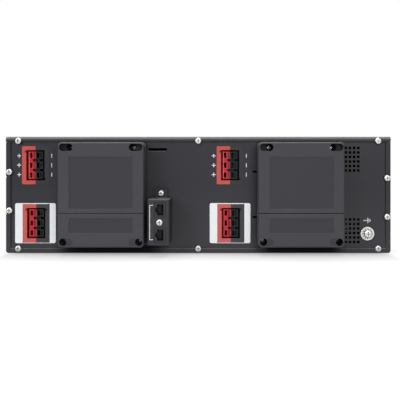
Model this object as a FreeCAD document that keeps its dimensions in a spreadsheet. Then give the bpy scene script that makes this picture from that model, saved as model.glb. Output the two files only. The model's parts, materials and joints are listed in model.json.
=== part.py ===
import FreeCAD, Part
import math
import os
import Sketcher

# External battery module of an uninterruptible power supply, 3U high, in millimetres.
# X runs to the right seen from behind, the connector side faces -Y, and Z is up from the floor.

SIZES = {
    # Sheet-metal case
    "case_width": 430.0,
    "case_height": 130.0,
    "case_depth": 556.0,
    "gauge": 1.2,
    "bottom_bend": 3.0,
    "rear_bend": 1.5,
    "lid_bend": 3.4,
    "lid_edge_round": 0.8,
    "lip_width": 5.4,
    "lid_flange": 12.0,
    "front_flange": 12.0,
    "fit_gap": 0.4,
    "panel_corner": 3.0,
    "panel_top_round": 1.0,
    "relief_low_z": 44.0,
    "relief_drop": 45.0,
    "relief_height": 1.8,
    "relief_depth": 1.0,
    "relief_reach": 3.0,
    # Holes for rack ears near the front of both sides
    "ear_hole_radius": 1.65,
    "ear_hole_spacing_y": 30.0,
    "ear_hole_spacing_z": 76.0,
    "ear_hole_setback": 45.0,
    # Bright truss-head screws
    "screw_radius": 1.5,
    "screw_length": 7.0,
    "screw_head_radius": 3.5,
    "screw_head_height": 2.2,
    "screw_head_round": 1.5,
    "screw_cross_span": 4.0,
    "screw_cross_width": 0.9,
    "screw_cross_depth": 1.2,
    "thread_gap": 0.05,
    "notch_gap": 0.2,
    "border_screw_inset": 14.3,
    "border_screw_inset_z": 4.8,
    "border_screw_low_z": 5.2,
    "border_screw_inset_x": 4.3,
    "left_screw_drop": 39.3,
    "left_screw_low_z": 47.7,
    "right_screw_drop": 46.2,
    "right_screw_low_z": 40.5,
    # Countersunk lid screws
    "lid_screw_length": 5.0,
    "lid_screw_drop": 1.0,
    "lid_screw_end": 60.0,
    # Front plate and bezel
    "front_screw_x": 150.0,
    "front_screw_inset": 7.0,
    "front_slot_width": 8.0,
    "front_slot_height": 60.0,
    "front_slot_pitch": 28.0,
    "bezel_depth": 25.0,
    "bezel_wall": 2.5,
    "bezel_round": 4.0,
    "bezel_slot_length": 110.0,
    "bezel_slot_height": 4.0,
    "bezel_slot_pitch": 11.0,
    "bezel_slot_x": 125.0,
    "bezel_field_width": 110.0,
    "bezel_field_height": 62.0,
    "bezel_field_depth": 1.0,
    "bezel_tab_x": 100.0,
    "bezel_tab_inset": 6.0,
    "bezel_tab_width": 10.0,
    "bezel_tab_gauge": 1.8,
    # Sealed battery blocks, their trays and links
    "block_width": 65.0,
    "block_length": 151.0,
    "block_height": 94.0,
    "block_corner": 2.5,
    "block_gap": 0.5,
    "terminal_x": 20.0,
    "terminal_inset": 10.0,
    "terminal_well_width": 16.0,
    "terminal_well_length": 14.0,
    "terminal_well_depth": 3.0,
    "terminal_rise": 5.0,
    "terminal_width": 6.3,
    "terminal_gauge": 0.8,
    "link_width": 8.0,
    "link_gauge": 2.0,
    "tray_gauge": 1.0,
    "tray_wall": 30.0,
    "tray_front_wall": 62.0,
    "tray_gap": 5.0,
    "tray_grip_width": 80.0,
    "tray_grip_height": 18.0,
    # Power ports
    "port_inset": 33.0,
    "port_z": 33.4,
    "right_port_inset": 179.5,
    "port_drop": 31.9,
    "lower_port_shift": 0.8,
    "port_recess": 1.5,
    "cutout_width": 20.5,
    "cutout_height": 34.0,
    "cutout_ear": 1.6,
    "cutout_ear_height": 2.2,
    "cutout_ear_inset": 1.8,
    "housing_size": 7.9,
    "housing_length": 24.6,
    "housing_wall": 0.9,
    "housing_mouth_depth": 10.0,
    "tongue_width": 3.1,
    "tongue_step": 0.4,
    "spacer_height": 3.2,
    "spacer_notch_width": 3.4,
    "spacer_notch_depth": 5.0,
    "contact_width": 1.8,
    "contact_height": 4.8,
    "contact_offset": -1.6,
    "contact_gap": 0.2,
    "contact_recess": 8.5,
    "contact_tail": 5.0,
    "holder_flange": 5.0,
    "holder_flange_gauge": 2.0,
    "holder_wall": 2.0,
    "holder_depth": 12.0,
    "holder_floor": 2.5,
    "holder_fit": 0.1,
    "bus_width": 6.0,
    "bus_gauge": 3.0,
    "bus_overhang": 5.0,
    # Adhesive labels round the ports
    "label_gauge": 0.2,
    "colour_label_width": 30.0,
    "colour_label_height": 42.6,
    "colour_label_corner": 1.4,
    "white_label_width": 45.4,
    "white_label_height": 44.7,
    "white_label_corner": 2.0,
    "label_gap": 0.1,
    # Moulded service covers
    "cover_offset_x": 77.0,
    "cover_low_margin": 9.3,
    "cover_width": 93.8,
    "cover_top_margin": 6.3,
    "cover_depth": 24.0,
    "cover_wall": 2.5,
    "cover_corner": 4.5,
    "cover_round": 1.8,
    "cover_field_width": 69.2,
    "cover_field_rise": 4.9,
    "cover_field_low": 16.3,
    "cover_field_margin": 15.8,
    "cover_field_depth": 0.6,
    "cover_groove_z": 37.1,
    "cover_groove_width": 1.1,
    "cover_groove_depth": 1.1,
    "well_radius": 4.1,
    "well_wall": 1.5,
    "well_floor": 3.0,
    "well_inset": 5.8,
    "well_inner_x": 34.4,
    "well_outer_x": 41.1,
    "pill_deep": 6.0,
    "pill_shallow": 0.8,
    "cover_screw_length": 8.0,
    "cover_screw_head_radius": 2.9,
    "window_width": 60.0,
    "window_height": 70.0,
    # Fuses behind the service covers
    "fuse_setback": 45.0,
    "fuse_base_width": 60.0,
    "fuse_base_depth": 30.0,
    "fuse_base_height": 46.0,
    "fuse_clip_x": 21.0,
    "fuse_clip_gauge": 8.0,
    "fuse_clip_depth": 18.0,
    "fuse_clip_height": 22.0,
    "fuse_clip_mouth": 11.0,
    "fuse_foot_length": 10.0,
    "fuse_foot_gauge": 2.0,
    "fuse_lift": 12.0,
    "fuse_radius": 7.0,
    "fuse_length": 51.0,
    "fuse_fit": 0.05,
    # Leads
    "lead_radius": 2.5,
    "lead_bend": 9.0,
    "lead_rise": 10.3,
    "negative_lead_z": 90.0,
    "fuse_lead_z": 80.0,
    "lead_cross_y": 24.0,
    # Detection port box
    "detection_offset": 63.2,
    "detection_z": 37.5,
    "detection_width": 22.9,
    "detection_height": 49.4,
    "detection_depth": 32.0,
    "detection_wall": 1.0,
    "detection_round": 0.8,
    "detection_tab_width": 14.0,
    "detection_tab_height": 9.7,
    "detection_tab_shift": 0.3,
    "detection_screw_rise": 4.45,
    "detection_screw_shift": 1.2,
    "detection_cable_drop": 13.0,
    "detection_cable_width": 10.0,
    "jack_width": 11.9,
    "jack_height": 15.2,
    "jack_depth": 18.0,
    "jack_spacing": 27.2,
    "jack_shift": 1.9,
    "jack_fit": 0.35,
    "jack_mouth_width": 6.8,
    "jack_mouth_height": 12.0,
    "jack_mouth_depth": 13.0,
    "jack_mouth_shift": 0.1,
    "jack_latch_height": 6.2,
    "jack_latch_width": 1.1,
    "jack_key_height": 3.4,
    "jack_key_width": 0.8,
    "board_gauge": 1.6,
    "board_gap": 0.2,
    "standoff_radius": 2.8,
    "standoff_bore_depth": 9.0,
    # Earth screw and its washers
    "earth_inset": 26.1,
    "earth_z": 21.8,
    "earth_radius": 2.5,
    "earth_length": 14.0,
    "earth_head_radius": 4.3,
    "earth_head_height": 3.2,
    "earth_cross_span": 5.0,
    "washer_radius": 7.45,
    "washer_gauge": 1.2,
    "washer_bore_gap": 0.25,
    "lock_washer_radius": 5.8,
    "lock_washer_gauge": 0.9,
    "lock_tooth_width": 0.9,
    "lock_tooth_depth": 1.0,
    # Vents and slots of the rear panel
    "vent_inset": 50.1,
    "vent_low_z": 12.3,
    "vent_drop": 37.8,
    "vent_size": 2.9,
    "vent_pitch_x": 4.65,
    "vent_pitch_z": 5.05,
    "tie_slot_offset": 59.5,
    "tie_slot_drop": 14.25,
    "tie_slot_width": 20.5,
    "tie_slot_height": 3.0,
    "hook_slot_offset": 49.2,
    "hook_slot_drop": 39.1,
    "hook_slot_low_z": 40.2,
    "hook_slot_width": 5.0,
    "hook_slot_height": 2.4,
}
VENT_COLUMNS = 4
VENT_ROWS = 6
PORT_ROWS = 3
LID_SCREWS = 4
FRONT_SLOTS = 12
BEZEL_SLOTS = 6
LOCK_TEETH = 12

doc = FreeCAD.newDocument("battery_module")
sheet = doc.addObject("Spreadsheet::Sheet", "dims")
for row, (alias, number) in enumerate(SIZES.items(), start=1):
    sheet.set(f"A{row}", alias)
    sheet.set(f"B{row}", str(number))
    sheet.setAlias(f"B{row}", alias)
doc.recompute()


class Size:
    """A length: its number, and the expression on the sheet that gives it."""

    def __init__(self, number, text):
        self.number = number
        self.text = text

    def __add__(self, other):
        other = size(other)
        return Size(self.number + other.number, f"({self.text} + {other.text})")

    def __sub__(self, other):
        other = size(other)
        return Size(self.number - other.number, f"({self.text} - {other.text})")

    def __mul__(self, other):
        other = size(other)
        return Size(self.number * other.number, f"({self.text} * {other.text})")

    def __truediv__(self, other):
        other = size(other)
        return Size(self.number / other.number, f"({self.text} / {other.text})")

    def __neg__(self):
        return Size(-self.number, f"(0 - {self.text})")

    def __radd__(self, other):
        return size(other) + self

    def __rsub__(self, other):
        return size(other) - self

    def __rmul__(self, other):
        return size(other) * self


class Cells:
    """The sheet's cells as sizes, by alias."""

    def __getattr__(self, alias):
        return Size(float(sheet.get(alias)), f"dims.{alias}")


def size(value):
    return value if isinstance(value, Size) else Size(float(value), f"({float(value)})")


def bind(item, prop, value):
    item.setExpression(prop, size(value).text)


def vector(x, y, z=0):
    return FreeCAD.Vector(*(size(value).number for value in (x, y, z)))


d = Cells()
PLANE_AXES = {
    "XY": lambda x, y, z: (x, y, z),
    "XZ": lambda x, y, z: (x, z, -size(y)),
    "YZ": lambda x, y, z: (y, z, x),
}
parts = []


# Sketched features

def new_body(label):
    return doc.addObject("PartDesign::Body", label)


def new_sketch(body, plane, at):
    """An empty sketch on one of the body's planes, with its origin at a point of the part's frame."""
    sketch = body.newObject("Sketcher::SketchObject", f"{body.Name}_sketch")
    support = next(item for item in body.Origin.OriginFeatures if item.Role == f"{plane}_Plane")
    sketch.AttachmentSupport = (support, [""])
    sketch.MapMode = "FlatFace"
    for axis, value in zip("xyz", PLANE_AXES[plane](*at)):
        bind(sketch, f"AttachmentOffset.Base.{axis}", value)
    return sketch


def constrain(sketch, value, kind, *geometry):
    index = sketch.addConstraint(Sketcher.Constraint(kind, *geometry, size(value).number))
    sketch.setExpression(f"Constraints[{index}]", size(value).text)


def rect(width, height):
    """A rectangle about the sketch's origin."""
    def draw(sketch):
        x, y = size(width).number / 2, size(height).number / 2
        corners = [vector(-x, -y), vector(x, -y), vector(x, y), vector(-x, y)]
        ends = zip(corners, corners[1:] + corners[:1])
        lines = [sketch.addGeometry(Part.LineSegment(start, end), False) for start, end in ends]
        for line, following in zip(lines, lines[1:] + lines[:1]):
            sketch.addConstraint(Sketcher.Constraint("Coincident", line, 2, following, 1))
        for line, kind in zip(lines, ("Horizontal", "Vertical", "Horizontal", "Vertical")):
            sketch.addConstraint(Sketcher.Constraint(kind, line))
        sketch.addConstraint(Sketcher.Constraint("Symmetric", lines[0], 1, lines[2], 1, -1, 1))
        constrain(sketch, width, "DistanceX", lines[0], 1, lines[0], 2)
        constrain(sketch, height, "DistanceY", lines[1], 1, lines[1], 2)
    return draw


def disc(radius):
    """A circle about the sketch's origin."""
    def draw(sketch):
        circle = Part.Circle(vector(0, 0), vector(0, 0, 1), size(radius).number)
        index = sketch.addGeometry(circle, False)
        sketch.addConstraint(Sketcher.Constraint("Coincident", index, 3, -1, 1))
        constrain(sketch, radius, "Radius", index)
    return draw


def pill(centres, radius):
    """A level slot with round ends about the sketch's origin."""
    def draw(sketch):
        x, reach = size(centres).number / 2, size(radius).number
        quarter = math.pi / 2
        left = Part.Circle(vector(-x, 0), vector(0, 0, 1), reach)
        right = Part.Circle(vector(x, 0), vector(0, 0, 1), reach)
        left_end = sketch.addGeometry(Part.ArcOfCircle(left, quarter, 3 * quarter), False)
        right_end = sketch.addGeometry(Part.ArcOfCircle(right, -quarter, quarter), False)
        top = sketch.addGeometry(Part.LineSegment(vector(-x, reach), vector(x, reach)), False)
        foot = sketch.addGeometry(Part.LineSegment(vector(-x, -reach), vector(x, -reach)), False)
        for ends in ((left_end, 1, top, 1), (left_end, 2, foot, 1),
                     (right_end, 2, top, 2), (right_end, 1, foot, 2)):
            sketch.addConstraint(Sketcher.Constraint("Tangent", *ends))
        sketch.addConstraint(Sketcher.Constraint("Equal", left_end, right_end))
        sketch.addConstraint(Sketcher.Constraint("Symmetric", left_end, 3, right_end, 3, -1, 1))
        sketch.addConstraint(Sketcher.Constraint("Horizontal", top))
        constrain(sketch, radius, "Radius", left_end)
        constrain(sketch, centres, "DistanceX", left_end, 3, right_end, 3)
    return draw


def add_feature(body, kind, plane, at, profile, length, reverse):
    sketch = new_sketch(body, plane, at)
    profile(sketch)
    feature = body.newObject(f"PartDesign::{kind}", f"{body.Name}_{kind.lower()}")
    feature.Profile = sketch
    if length is None:
        feature.Type = "ThroughAll"
    else:
        bind(feature, "Length", length)
    feature.Reversed = reverse
    return feature


def pad(body, plane, at, profile, length, reverse=False):
    """Adds material along the plane's normal: +Z for XY, -Y for XZ and +X for YZ."""
    return add_feature(body, "Pad", plane, at, profile, length, reverse)


def pocket(body, plane, at, profile, length=None, reverse=False):
    """Takes material away against the plane's normal."""
    return add_feature(body, "Pocket", plane, at, profile, length, reverse)


def pattern(body, feature, *steps):
    """Repeats a feature along its sketch's axes; each step is an axis, a pitch and a count."""
    grid = body.newObject("PartDesign::MultiTransform", f"{body.Name}_grid")
    rows = []
    for axis, pitch, count in steps:
        line = body.newObject("PartDesign::LinearPattern", f"{body.Name}_row")
        line.Direction = (feature.Profile[0], [axis])
        bind(line, "Length", pitch * (count - 1))
        line.Occurrences = count
        rows.append(line)
    grid.Originals = [feature]
    grid.Transformations = rows
    body.Tip = grid


def round_edges(body, radius, wanted):
    """Rounds the edges of the body that answer a test."""
    doc.recompute()
    base = body.Tip
    names = [f"Edge{i}" for i, edge in enumerate(base.Shape.Edges, start=1) if wanted(edge)]
    fillet = body.newObject("PartDesign::Fillet", f"{body.Name}_fillet")
    fillet.Base = (base, names)
    bind(fillet, "Radius", radius)


def runs_along(edge, axis):
    start, end = edge.firstVertex().Point, edge.lastVertex().Point
    along = {"X": vector(1, 0, 0), "Y": vector(0, 1, 0), "Z": vector(0, 0, 1)}[axis]
    return edge.Length > 0 and abs(abs((end - start).dot(along)) - edge.Length) < 1e-6


def lies_at(edge, axis, value):
    box = edge.BoundBox
    low, high = {"X": (box.XMin, box.XMax), "Y": (box.YMin, box.YMax), "Z": (box.ZMin, box.ZMax)}[axis]
    place = size(value).number
    return abs(low - place) < 1e-5 and abs(high - place) < 1e-5


# Copies and groups

def link_to(source, at, turn=0):
    """A copy of a shape at a point, turned about Z."""
    link = doc.addObject("App::Link", f"{source.Name}_copy")
    link.LinkedObject = source
    link.LinkTransform = True
    link.Placement = FreeCAD.Placement(vector(*at), FreeCAD.Rotation(vector(0, 0, 1), turn))
    for axis, value in zip("xyz", at):
        bind(link, f"Placement.Base.{axis}", value)
    return link


def group(label, links):
    """One sub-part made of separate equal pieces."""
    compound = doc.addObject("Part::Compound", label)
    compound.Links = links
    parts.append(compound)
    return compound


def keep(item):
    parts.append(item)
    return item


# Cutters for sheets with many openings

def slab(x, y, z, width, depth, height):
    """A block centred on x and z that runs from y towards the front."""
    block = doc.addObject("Part::Box", "slab")
    for prop, value in (("Length", width), ("Width", depth), ("Height", height)):
        bind(block, prop, value)
    for axis, value in zip("xyz", (x - width / 2, y, z - height / 2)):
        bind(block, f"Placement.Base.{axis}", value)
    return block


def drill(x, y, z, radius, depth, axis="Y"):
    """A round cutter from a point along one of the axes."""
    turn = {"X": (vector(0, 1, 0), 90), "Y": (vector(1, 0, 0), -90), "Z": (vector(0, 0, 1), 0)}[axis]
    bit = doc.addObject("Part::Cylinder", "drill")
    bit.Placement = FreeCAD.Placement(vector(0, 0, 0), FreeCAD.Rotation(*turn))
    bind(bit, "Radius", radius)
    bind(bit, "Height", depth)
    for direction, value in zip("xyz", (x, y, z)):
        bind(bit, f"Placement.Base.{direction}", value)
    return bit


def cut_sheet(label, blank, cutters):
    """A finished sheet: the folded blank less all its openings."""
    joined = doc.addObject("Part::MultiFuse", f"{label}_cutters")
    joined.Shapes = cutters
    sheet_part = doc.addObject("Part::Cut", label)
    sheet_part.Base = blank
    sheet_part.Tool = joined
    return keep(sheet_part)


def whole_fit(room, pitch):
    """How many whole pitches fit into a room."""
    return int(room.number // pitch.number)


# Places that several pieces share

half_width = d.case_width / 2
rear_reach = d.screw_head_height + d.detection_depth - d.gauge
overall_depth = rear_reach + d.case_depth + d.bezel_depth
rear_y = rear_reach - overall_depth / 2
panel_y = rear_y + d.gauge
panel_back = panel_y + d.gauge
front_y = rear_y + d.case_depth
side_lip_top = d.case_height - d.lip_width - d.fit_gap
flange_z = d.case_height - 2 * d.gauge
panel_width = d.case_width - 2 * d.gauge - 2 * d.fit_gap
panel_low = d.gauge + d.fit_gap
panel_top = flange_z - d.fit_gap
panel_height = panel_top - panel_low
panel_mid = panel_low + panel_height / 2
border_high_z = d.case_height - d.border_screw_inset_z
border_screw_x = half_width - d.border_screw_inset
left_screw_x = d.border_screw_inset_x - half_width
right_screw_x = half_width - d.border_screw_inset_x
tapped_radius = d.screw_radius + d.thread_gap
notch_radius = d.screw_radius + d.notch_gap
front_screw_z = (d.front_screw_inset, d.case_height - d.gauge - d.front_screw_inset)
bezel_tab_z = (d.bezel_tab_inset, d.case_height - d.gauge - d.bezel_tab_inset)
COLUMNS = (-1, 0, 1)
SIDES = (-1, 1)

ear_hole_setbacks = [front_y - d.ear_hole_setback + d.ear_hole_spacing_y / 2 * side for side in SIDES]
ear_hole_heights = [d.case_height / 2 + d.ear_hole_spacing_z / 2 * side for side in SIDES]
tab_slot_width = d.bezel_tab_width + 2 * d.fit_gap
tab_slot_height = d.bezel_tab_gauge + 2 * d.fit_gap

lip_screws = [(border_screw_x * column, d.border_screw_low_z) for column in COLUMNS]
lid_lip_screws = [(border_screw_x * column, border_high_z) for column in COLUMNS]
side_screws = [
    (left_screw_x, d.case_height - d.left_screw_drop),
    (left_screw_x, d.left_screw_low_z),
    (right_screw_x, d.case_height - d.right_screw_drop),
    (right_screw_x, d.right_screw_low_z),
]
border_screws = lip_screws + lid_lip_screws + side_screws
lid_screw_step = (d.case_depth - 2 * d.lid_screw_end) / (LID_SCREWS - 1)
lid_screw_x = half_width - d.lid_flange / 2
lid_screws = [
    (lid_screw_x * side, rear_y + d.lid_screw_end + lid_screw_step * index)
    for side in SIDES for index in range(LID_SCREWS)
]
front_screws = [(d.front_screw_x * column, z) for column in COLUMNS for z in front_screw_z]

# The ports are numbered from the upper left; each is a place and the corners where its cut-out has ears
port_columns = [d.port_inset - half_width, half_width - d.right_port_inset]
port_pitch_z = d.case_height - d.port_drop - d.port_z
PORTS = []
for row, ears in ((1, ((-1, 1), (1, -1))), (0, ((-1, 1), (1, 1)))):
    for x in port_columns:
        PORTS.append((x + d.lower_port_shift * (1 - row), d.port_z + port_pitch_z * row, ears))
row_pitch = d.housing_size + d.spacer_height
housing_front = panel_y + d.port_recess
housing_back = housing_front + d.housing_length
bus_front = housing_back + d.contact_tail
bus_back = bus_front + d.bus_gauge
ear_x = d.cutout_width / 2 + d.cutout_ear / 2
ear_z = d.cutout_height / 2 - d.cutout_ear_inset

cover_places = [x + d.cover_offset_x for x in port_columns]
cover_low = d.cover_low_margin
cover_high = d.case_height - d.cover_top_margin
cover_height = cover_high - cover_low
cover_mid = cover_low + cover_height / 2
well_places = [
    (x * side, z)
    for x, z in ((d.well_inner_x, cover_high - d.well_inset), (d.well_outer_x, cover_low + d.well_inset))
    for side in SIDES
]
earth_x = half_width - d.earth_inset
detection_x = cover_places[0] + d.detection_offset
detection_tab_x = detection_x + d.detection_tab_shift
detection_screw_x = detection_x + d.detection_screw_shift
jack_x = detection_x + d.jack_shift
detection_top = d.detection_z + d.detection_height / 2
detection_face = panel_y - d.detection_depth
detection_screw_z = detection_top + d.detection_screw_rise

fuse_y = panel_back + d.fuse_setback
fuse_back = fuse_y + d.fuse_base_depth / 2
tray_front = front_y - d.screw_length - d.fit_gap
tray_rim = 2 * d.tray_gauge + d.block_gap
tray_columns = whole_fit(half_width - d.gauge - d.tray_gap / 2 - tray_rim, d.block_width + d.block_gap)
tray_rows = whole_fit(tray_front - fuse_back - d.lead_cross_y - tray_rim, d.block_length + d.block_gap)
tray_width = tray_columns * (d.block_width + d.block_gap) + tray_rim
tray_length = tray_rows * (d.block_length + d.block_gap) + tray_rim
tray_mid = tray_front - tray_length / 2
tray_places = [(tray_width + d.tray_gap) / 2 * side for side in SIDES]
block_z = d.gauge + d.tray_gauge
terminal_top = block_z + d.block_height + d.terminal_rise
lead_z = terminal_top + d.lead_rise


# Case

def chassis_tray():
    """Bottom, sides, lips and flanges folded from one sheet."""
    body = new_body("chassis_blank")
    mid_y = rear_y + d.case_depth / 2
    wall_height = d.case_height - d.gauge
    inner_width = d.case_width - 2 * d.gauge
    pad(body, "XY", (0, mid_y, 0), rect(d.case_width, d.case_depth), wall_height)
    round_edges(body, d.bottom_bend, lambda e: runs_along(e, "Y") and lies_at(e, "Z", 0))
    round_edges(body, d.rear_bend, lambda e: lies_at(e, "Y", rear_y) and not lies_at(e, "Z", wall_height))
    pocket(body, "XY", (0, mid_y, wall_height), rect(inner_width, d.case_depth - 2 * d.gauge),
           wall_height - d.gauge)
    round_edges(body, d.bottom_bend - d.gauge,
                lambda e: runs_along(e, "Y") and lies_at(e, "Z", d.gauge))
    for side in SIDES:
        pad(body, "XY", ((half_width - d.lid_flange / 2) * side, mid_y, flange_z),
            rect(d.lid_flange, d.case_depth - 2 * d.lid_bend), d.gauge)
    # Openings inside the rear lips and the front flange, and the room for the lid's own lip
    opening = wall_height - d.lip_width
    corner = wall_height - side_lip_top
    front_inner_y = front_y - d.gauge
    cutters = [
        slab(0, rear_y, d.lip_width + opening / 2, d.case_width - 2 * d.lip_width, d.gauge, opening),
        slab(0, rear_y, side_lip_top + corner / 2, d.case_width, d.lid_bend + d.fit_gap, corner),
        slab(0, front_inner_y, wall_height / 2, d.case_width - 2 * d.front_flange, d.gauge,
             wall_height - 2 * d.front_flange),
    ]
    for side in SIDES:
        relief_x = (half_width - d.relief_depth / 2) * side
        cutters += [slab(relief_x, rear_y, z, d.relief_depth, d.relief_reach, d.relief_height)
                    for z in (d.relief_low_z, d.case_height - d.relief_drop)]
        cutters += [slab(d.bezel_tab_x * side, front_inner_y, z, tab_slot_width, d.gauge, tab_slot_height)
                    for z in bezel_tab_z]
    # Open notches of the lip under the border screws
    for x, z in lip_screws:
        reach = d.lip_width - z
        cutters.append(slab(x, rear_y, z + reach / 2, 2 * notch_radius, d.gauge, reach))
    cutters += [drill(x, rear_y, z, notch_radius, d.gauge) for x, z in lip_screws + side_screws]
    cutters += [drill(x, front_inner_y, z, notch_radius, d.gauge) for x, z in front_screws]
    cutters += [drill(x, y, flange_z, tapped_radius, d.gauge, "Z") for x, y in lid_screws]
    for start in (-half_width, half_width - d.gauge):
        cutters += [drill(start, y, z, d.ear_hole_radius, d.gauge, "X")
                    for y in ear_hole_setbacks for z in ear_hole_heights]
    return cut_sheet("chassis_tray", body, cutters)


def lid():
    """Flat top with a rear lip folded down over the rear panel."""
    body = new_body("lid")
    low = d.case_height - d.gauge
    lip_low = d.case_height - d.lip_width
    pad(body, "XY", (0, rear_y + d.case_depth / 2, low), rect(d.case_width, d.case_depth), d.gauge)
    pad(body, "XZ", (0, rear_y, lip_low + d.lip_width / 2), rect(d.case_width, d.lip_width), d.gauge,
        reverse=True)
    round_edges(body, d.lid_bend,
                lambda e: runs_along(e, "X") and lies_at(e, "Z", d.case_height) and lies_at(e, "Y", rear_y))
    round_edges(body, d.lid_bend - d.gauge,
                lambda e: runs_along(e, "X") and lies_at(e, "Z", low) and lies_at(e, "Y", panel_y))
    round_edges(body, d.lid_edge_round, lambda e: runs_along(e, "Y") and lies_at(e, "Z", d.case_height))
    for x, z in lid_lip_screws:
        pocket(body, "XZ", (x, rear_y, z), disc(notch_radius), d.lid_bend)
        reach = z - lip_low
        pocket(body, "XZ", (x, rear_y, z - reach / 2), rect(2 * notch_radius, reach), d.lid_bend)
    for x, y in lid_screws:
        pocket(body, "XY", (x, y, d.case_height), disc(tapped_radius), d.gauge)
    doc.recompute()
    base = body.Tip
    rims = [f"Edge{i}" for i, e in enumerate(base.Shape.Edges, start=1)
            if lies_at(e, "Z", d.case_height) and abs(e.Length - math.tau * tapped_radius.number) < 1e-5]
    sink = body.newObject("PartDesign::Chamfer", "lid_countersinks")
    sink.Base = (base, rims)
    bind(sink, "Size", d.lid_screw_drop)
    return keep(body)


def flat_plate(label, outer_y, reverse):
    """A flat sheet that fills the case's cross-section, with rounded corners."""
    body = new_body(label)
    pad(body, "XZ", (0, outer_y, panel_mid), rect(panel_width, panel_height), d.gauge, reverse=reverse)
    round_edges(body, d.panel_corner, lambda e: runs_along(e, "Y"))
    return body


def panel_slot(x, z, width, height):
    return slab(x, panel_y, z, width, d.gauge, height)


def panel_hole(x, z, radius):
    return drill(x, panel_y, z, radius, d.gauge)


def rear_panel():
    cutters = [panel_hole(x, z, tapped_radius) for x, z in border_screws]
    for x, z, ears in PORTS:
        cutters.append(panel_slot(x, z, d.cutout_width, d.cutout_height))
        cutters += [panel_slot(x + ear_x * side, z + ear_z * end, d.cutout_ear, d.cutout_ear_height)
                    for side, end in ears]
    for x in cover_places:
        cutters.append(panel_slot(x, cover_mid, d.window_width, d.window_height))
        cutters += [panel_hole(x + offset, z, tapped_radius) for offset, z in well_places]
    cutters += [
        panel_hole(detection_tab_x, detection_screw_z, tapped_radius),
        panel_slot(detection_x, d.detection_z - d.detection_cable_drop, d.detection_cable_width,
                   d.detection_cable_width),
        panel_hole(earth_x, d.earth_z, d.earth_radius + d.thread_gap),
        panel_slot(cover_places[0] + d.tie_slot_offset, d.case_height - d.tie_slot_drop,
                   d.tie_slot_width, d.tie_slot_height),
    ]
    hook_x = cover_places[1] - d.hook_slot_offset
    cutters += [panel_slot(hook_x, z, d.hook_slot_width, d.hook_slot_height)
                for z in (d.case_height - d.hook_slot_drop, d.hook_slot_low_z)]
    vent_x = half_width - d.vent_inset
    for low in (d.vent_low_z, d.case_height - d.vent_drop):
        cutters += [panel_slot(vent_x + d.vent_pitch_x * column, low + d.vent_pitch_z * row,
                               d.vent_size, d.vent_size)
                    for column in range(VENT_COLUMNS) for row in range(VENT_ROWS)]
    blank = flat_plate("rear_panel_blank", panel_y, True)
    round_edges(blank, d.panel_top_round,
                lambda e: runs_along(e, "X") and lies_at(e, "Z", panel_top) and lies_at(e, "Y", panel_y))
    return cut_sheet("rear_panel", blank, cutters)


def front_plate():
    """Steel plate behind the bezel that closes the case and keeps the trays in."""
    body = flat_plate("front_plate", front_y - d.gauge, False)
    face_y = front_y - 2 * d.gauge
    for x, z in front_screws:
        pocket(body, "XZ", (x, face_y, z), disc(tapped_radius))
    for side in SIDES:
        for z in bezel_tab_z:
            pocket(body, "XZ", (d.bezel_tab_x * side, face_y, z), rect(tab_slot_width, tab_slot_height))
    first = -d.front_slot_pitch * (FRONT_SLOTS - 1) / 2
    slot = pocket(body, "XZ", (first, face_y, panel_mid), rect(d.front_slot_width, d.front_slot_height))
    pattern(body, slot, ("H_Axis", d.front_slot_pitch, FRONT_SLOTS))
    return keep(body)


def front_bezel():
    """Plain moulded front with air slots, held by tabs through the front flange."""
    body = new_body("front_bezel")
    face_y = front_y + d.bezel_depth
    mid_z = d.case_height / 2
    pad(body, "XZ", (0, front_y, mid_z), rect(d.case_width, d.case_height), d.bezel_depth, reverse=True)
    round_edges(body, d.bottom_bend, lambda e: runs_along(e, "Y"))
    round_edges(body, d.bezel_round, lambda e: lies_at(e, "Y", face_y))
    pocket(body, "XZ", (0, front_y, mid_z),
           rect(d.case_width - 2 * d.bezel_wall, d.case_height - 2 * d.bezel_wall),
           d.bezel_depth - d.bezel_wall)
    pocket(body, "XZ", (0, face_y, mid_z), rect(d.bezel_field_width, d.bezel_field_height),
           d.bezel_field_depth, reverse=True)
    for side in SIDES:
        first = mid_z - d.bezel_slot_pitch * (BEZEL_SLOTS - 1) / 2
        slot = pocket(body, "XZ", (d.bezel_slot_x * side, face_y, first),
                      rect(d.bezel_slot_length, d.bezel_slot_height), d.bezel_wall, reverse=True)
        pattern(body, slot, ("V_Axis", d.bezel_slot_pitch, BEZEL_SLOTS))
    for side in SIDES:
        for z in bezel_tab_z:
            root = face_y - d.bezel_wall
            pad(body, "XZ", (d.bezel_tab_x * side, root, z), rect(d.bezel_tab_width, d.bezel_tab_gauge),
                d.bezel_depth - d.bezel_wall + 2 * d.gauge)
    return keep(body)


# Fasteners

def cross_head_screw(name, radius, length, head_radius, head_height, cross_span):
    """A screw along +Y with its seat at the origin and a rounded head with a cross recess."""
    body = new_body(name)
    pad(body, "XZ", (0, 0, 0), disc(radius), length, reverse=True)
    pad(body, "XZ", (0, 0, 0), disc(head_radius), head_height)
    round_edges(body, d.screw_head_round, lambda e: lies_at(e, "Y", -head_height))
    for width, height in ((cross_span, d.screw_cross_width), (d.screw_cross_width, cross_span)):
        pocket(body, "XZ", (0, -head_height, 0), rect(width, height), d.screw_cross_depth)
    return body


def countersunk_screw(name):
    """A lid screw along -Z with its flush face at the origin."""
    shank = doc.addObject("Part::Cylinder", f"{name}_shank")
    bind(shank, "Radius", d.screw_radius)
    bind(shank, "Height", d.lid_screw_length)
    bind(shank, "Placement.Base.z", -d.lid_screw_length)
    head = doc.addObject("Part::Cone", f"{name}_head")
    bind(head, "Radius1", d.screw_radius)
    bind(head, "Radius2", d.screw_radius + d.lid_screw_drop)
    bind(head, "Height", d.lid_screw_drop)
    bind(head, "Placement.Base.z", -d.lid_screw_drop)
    whole = doc.addObject("Part::Fuse", name)
    whole.Base = shank
    whole.Tool = head
    return whole


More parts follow.
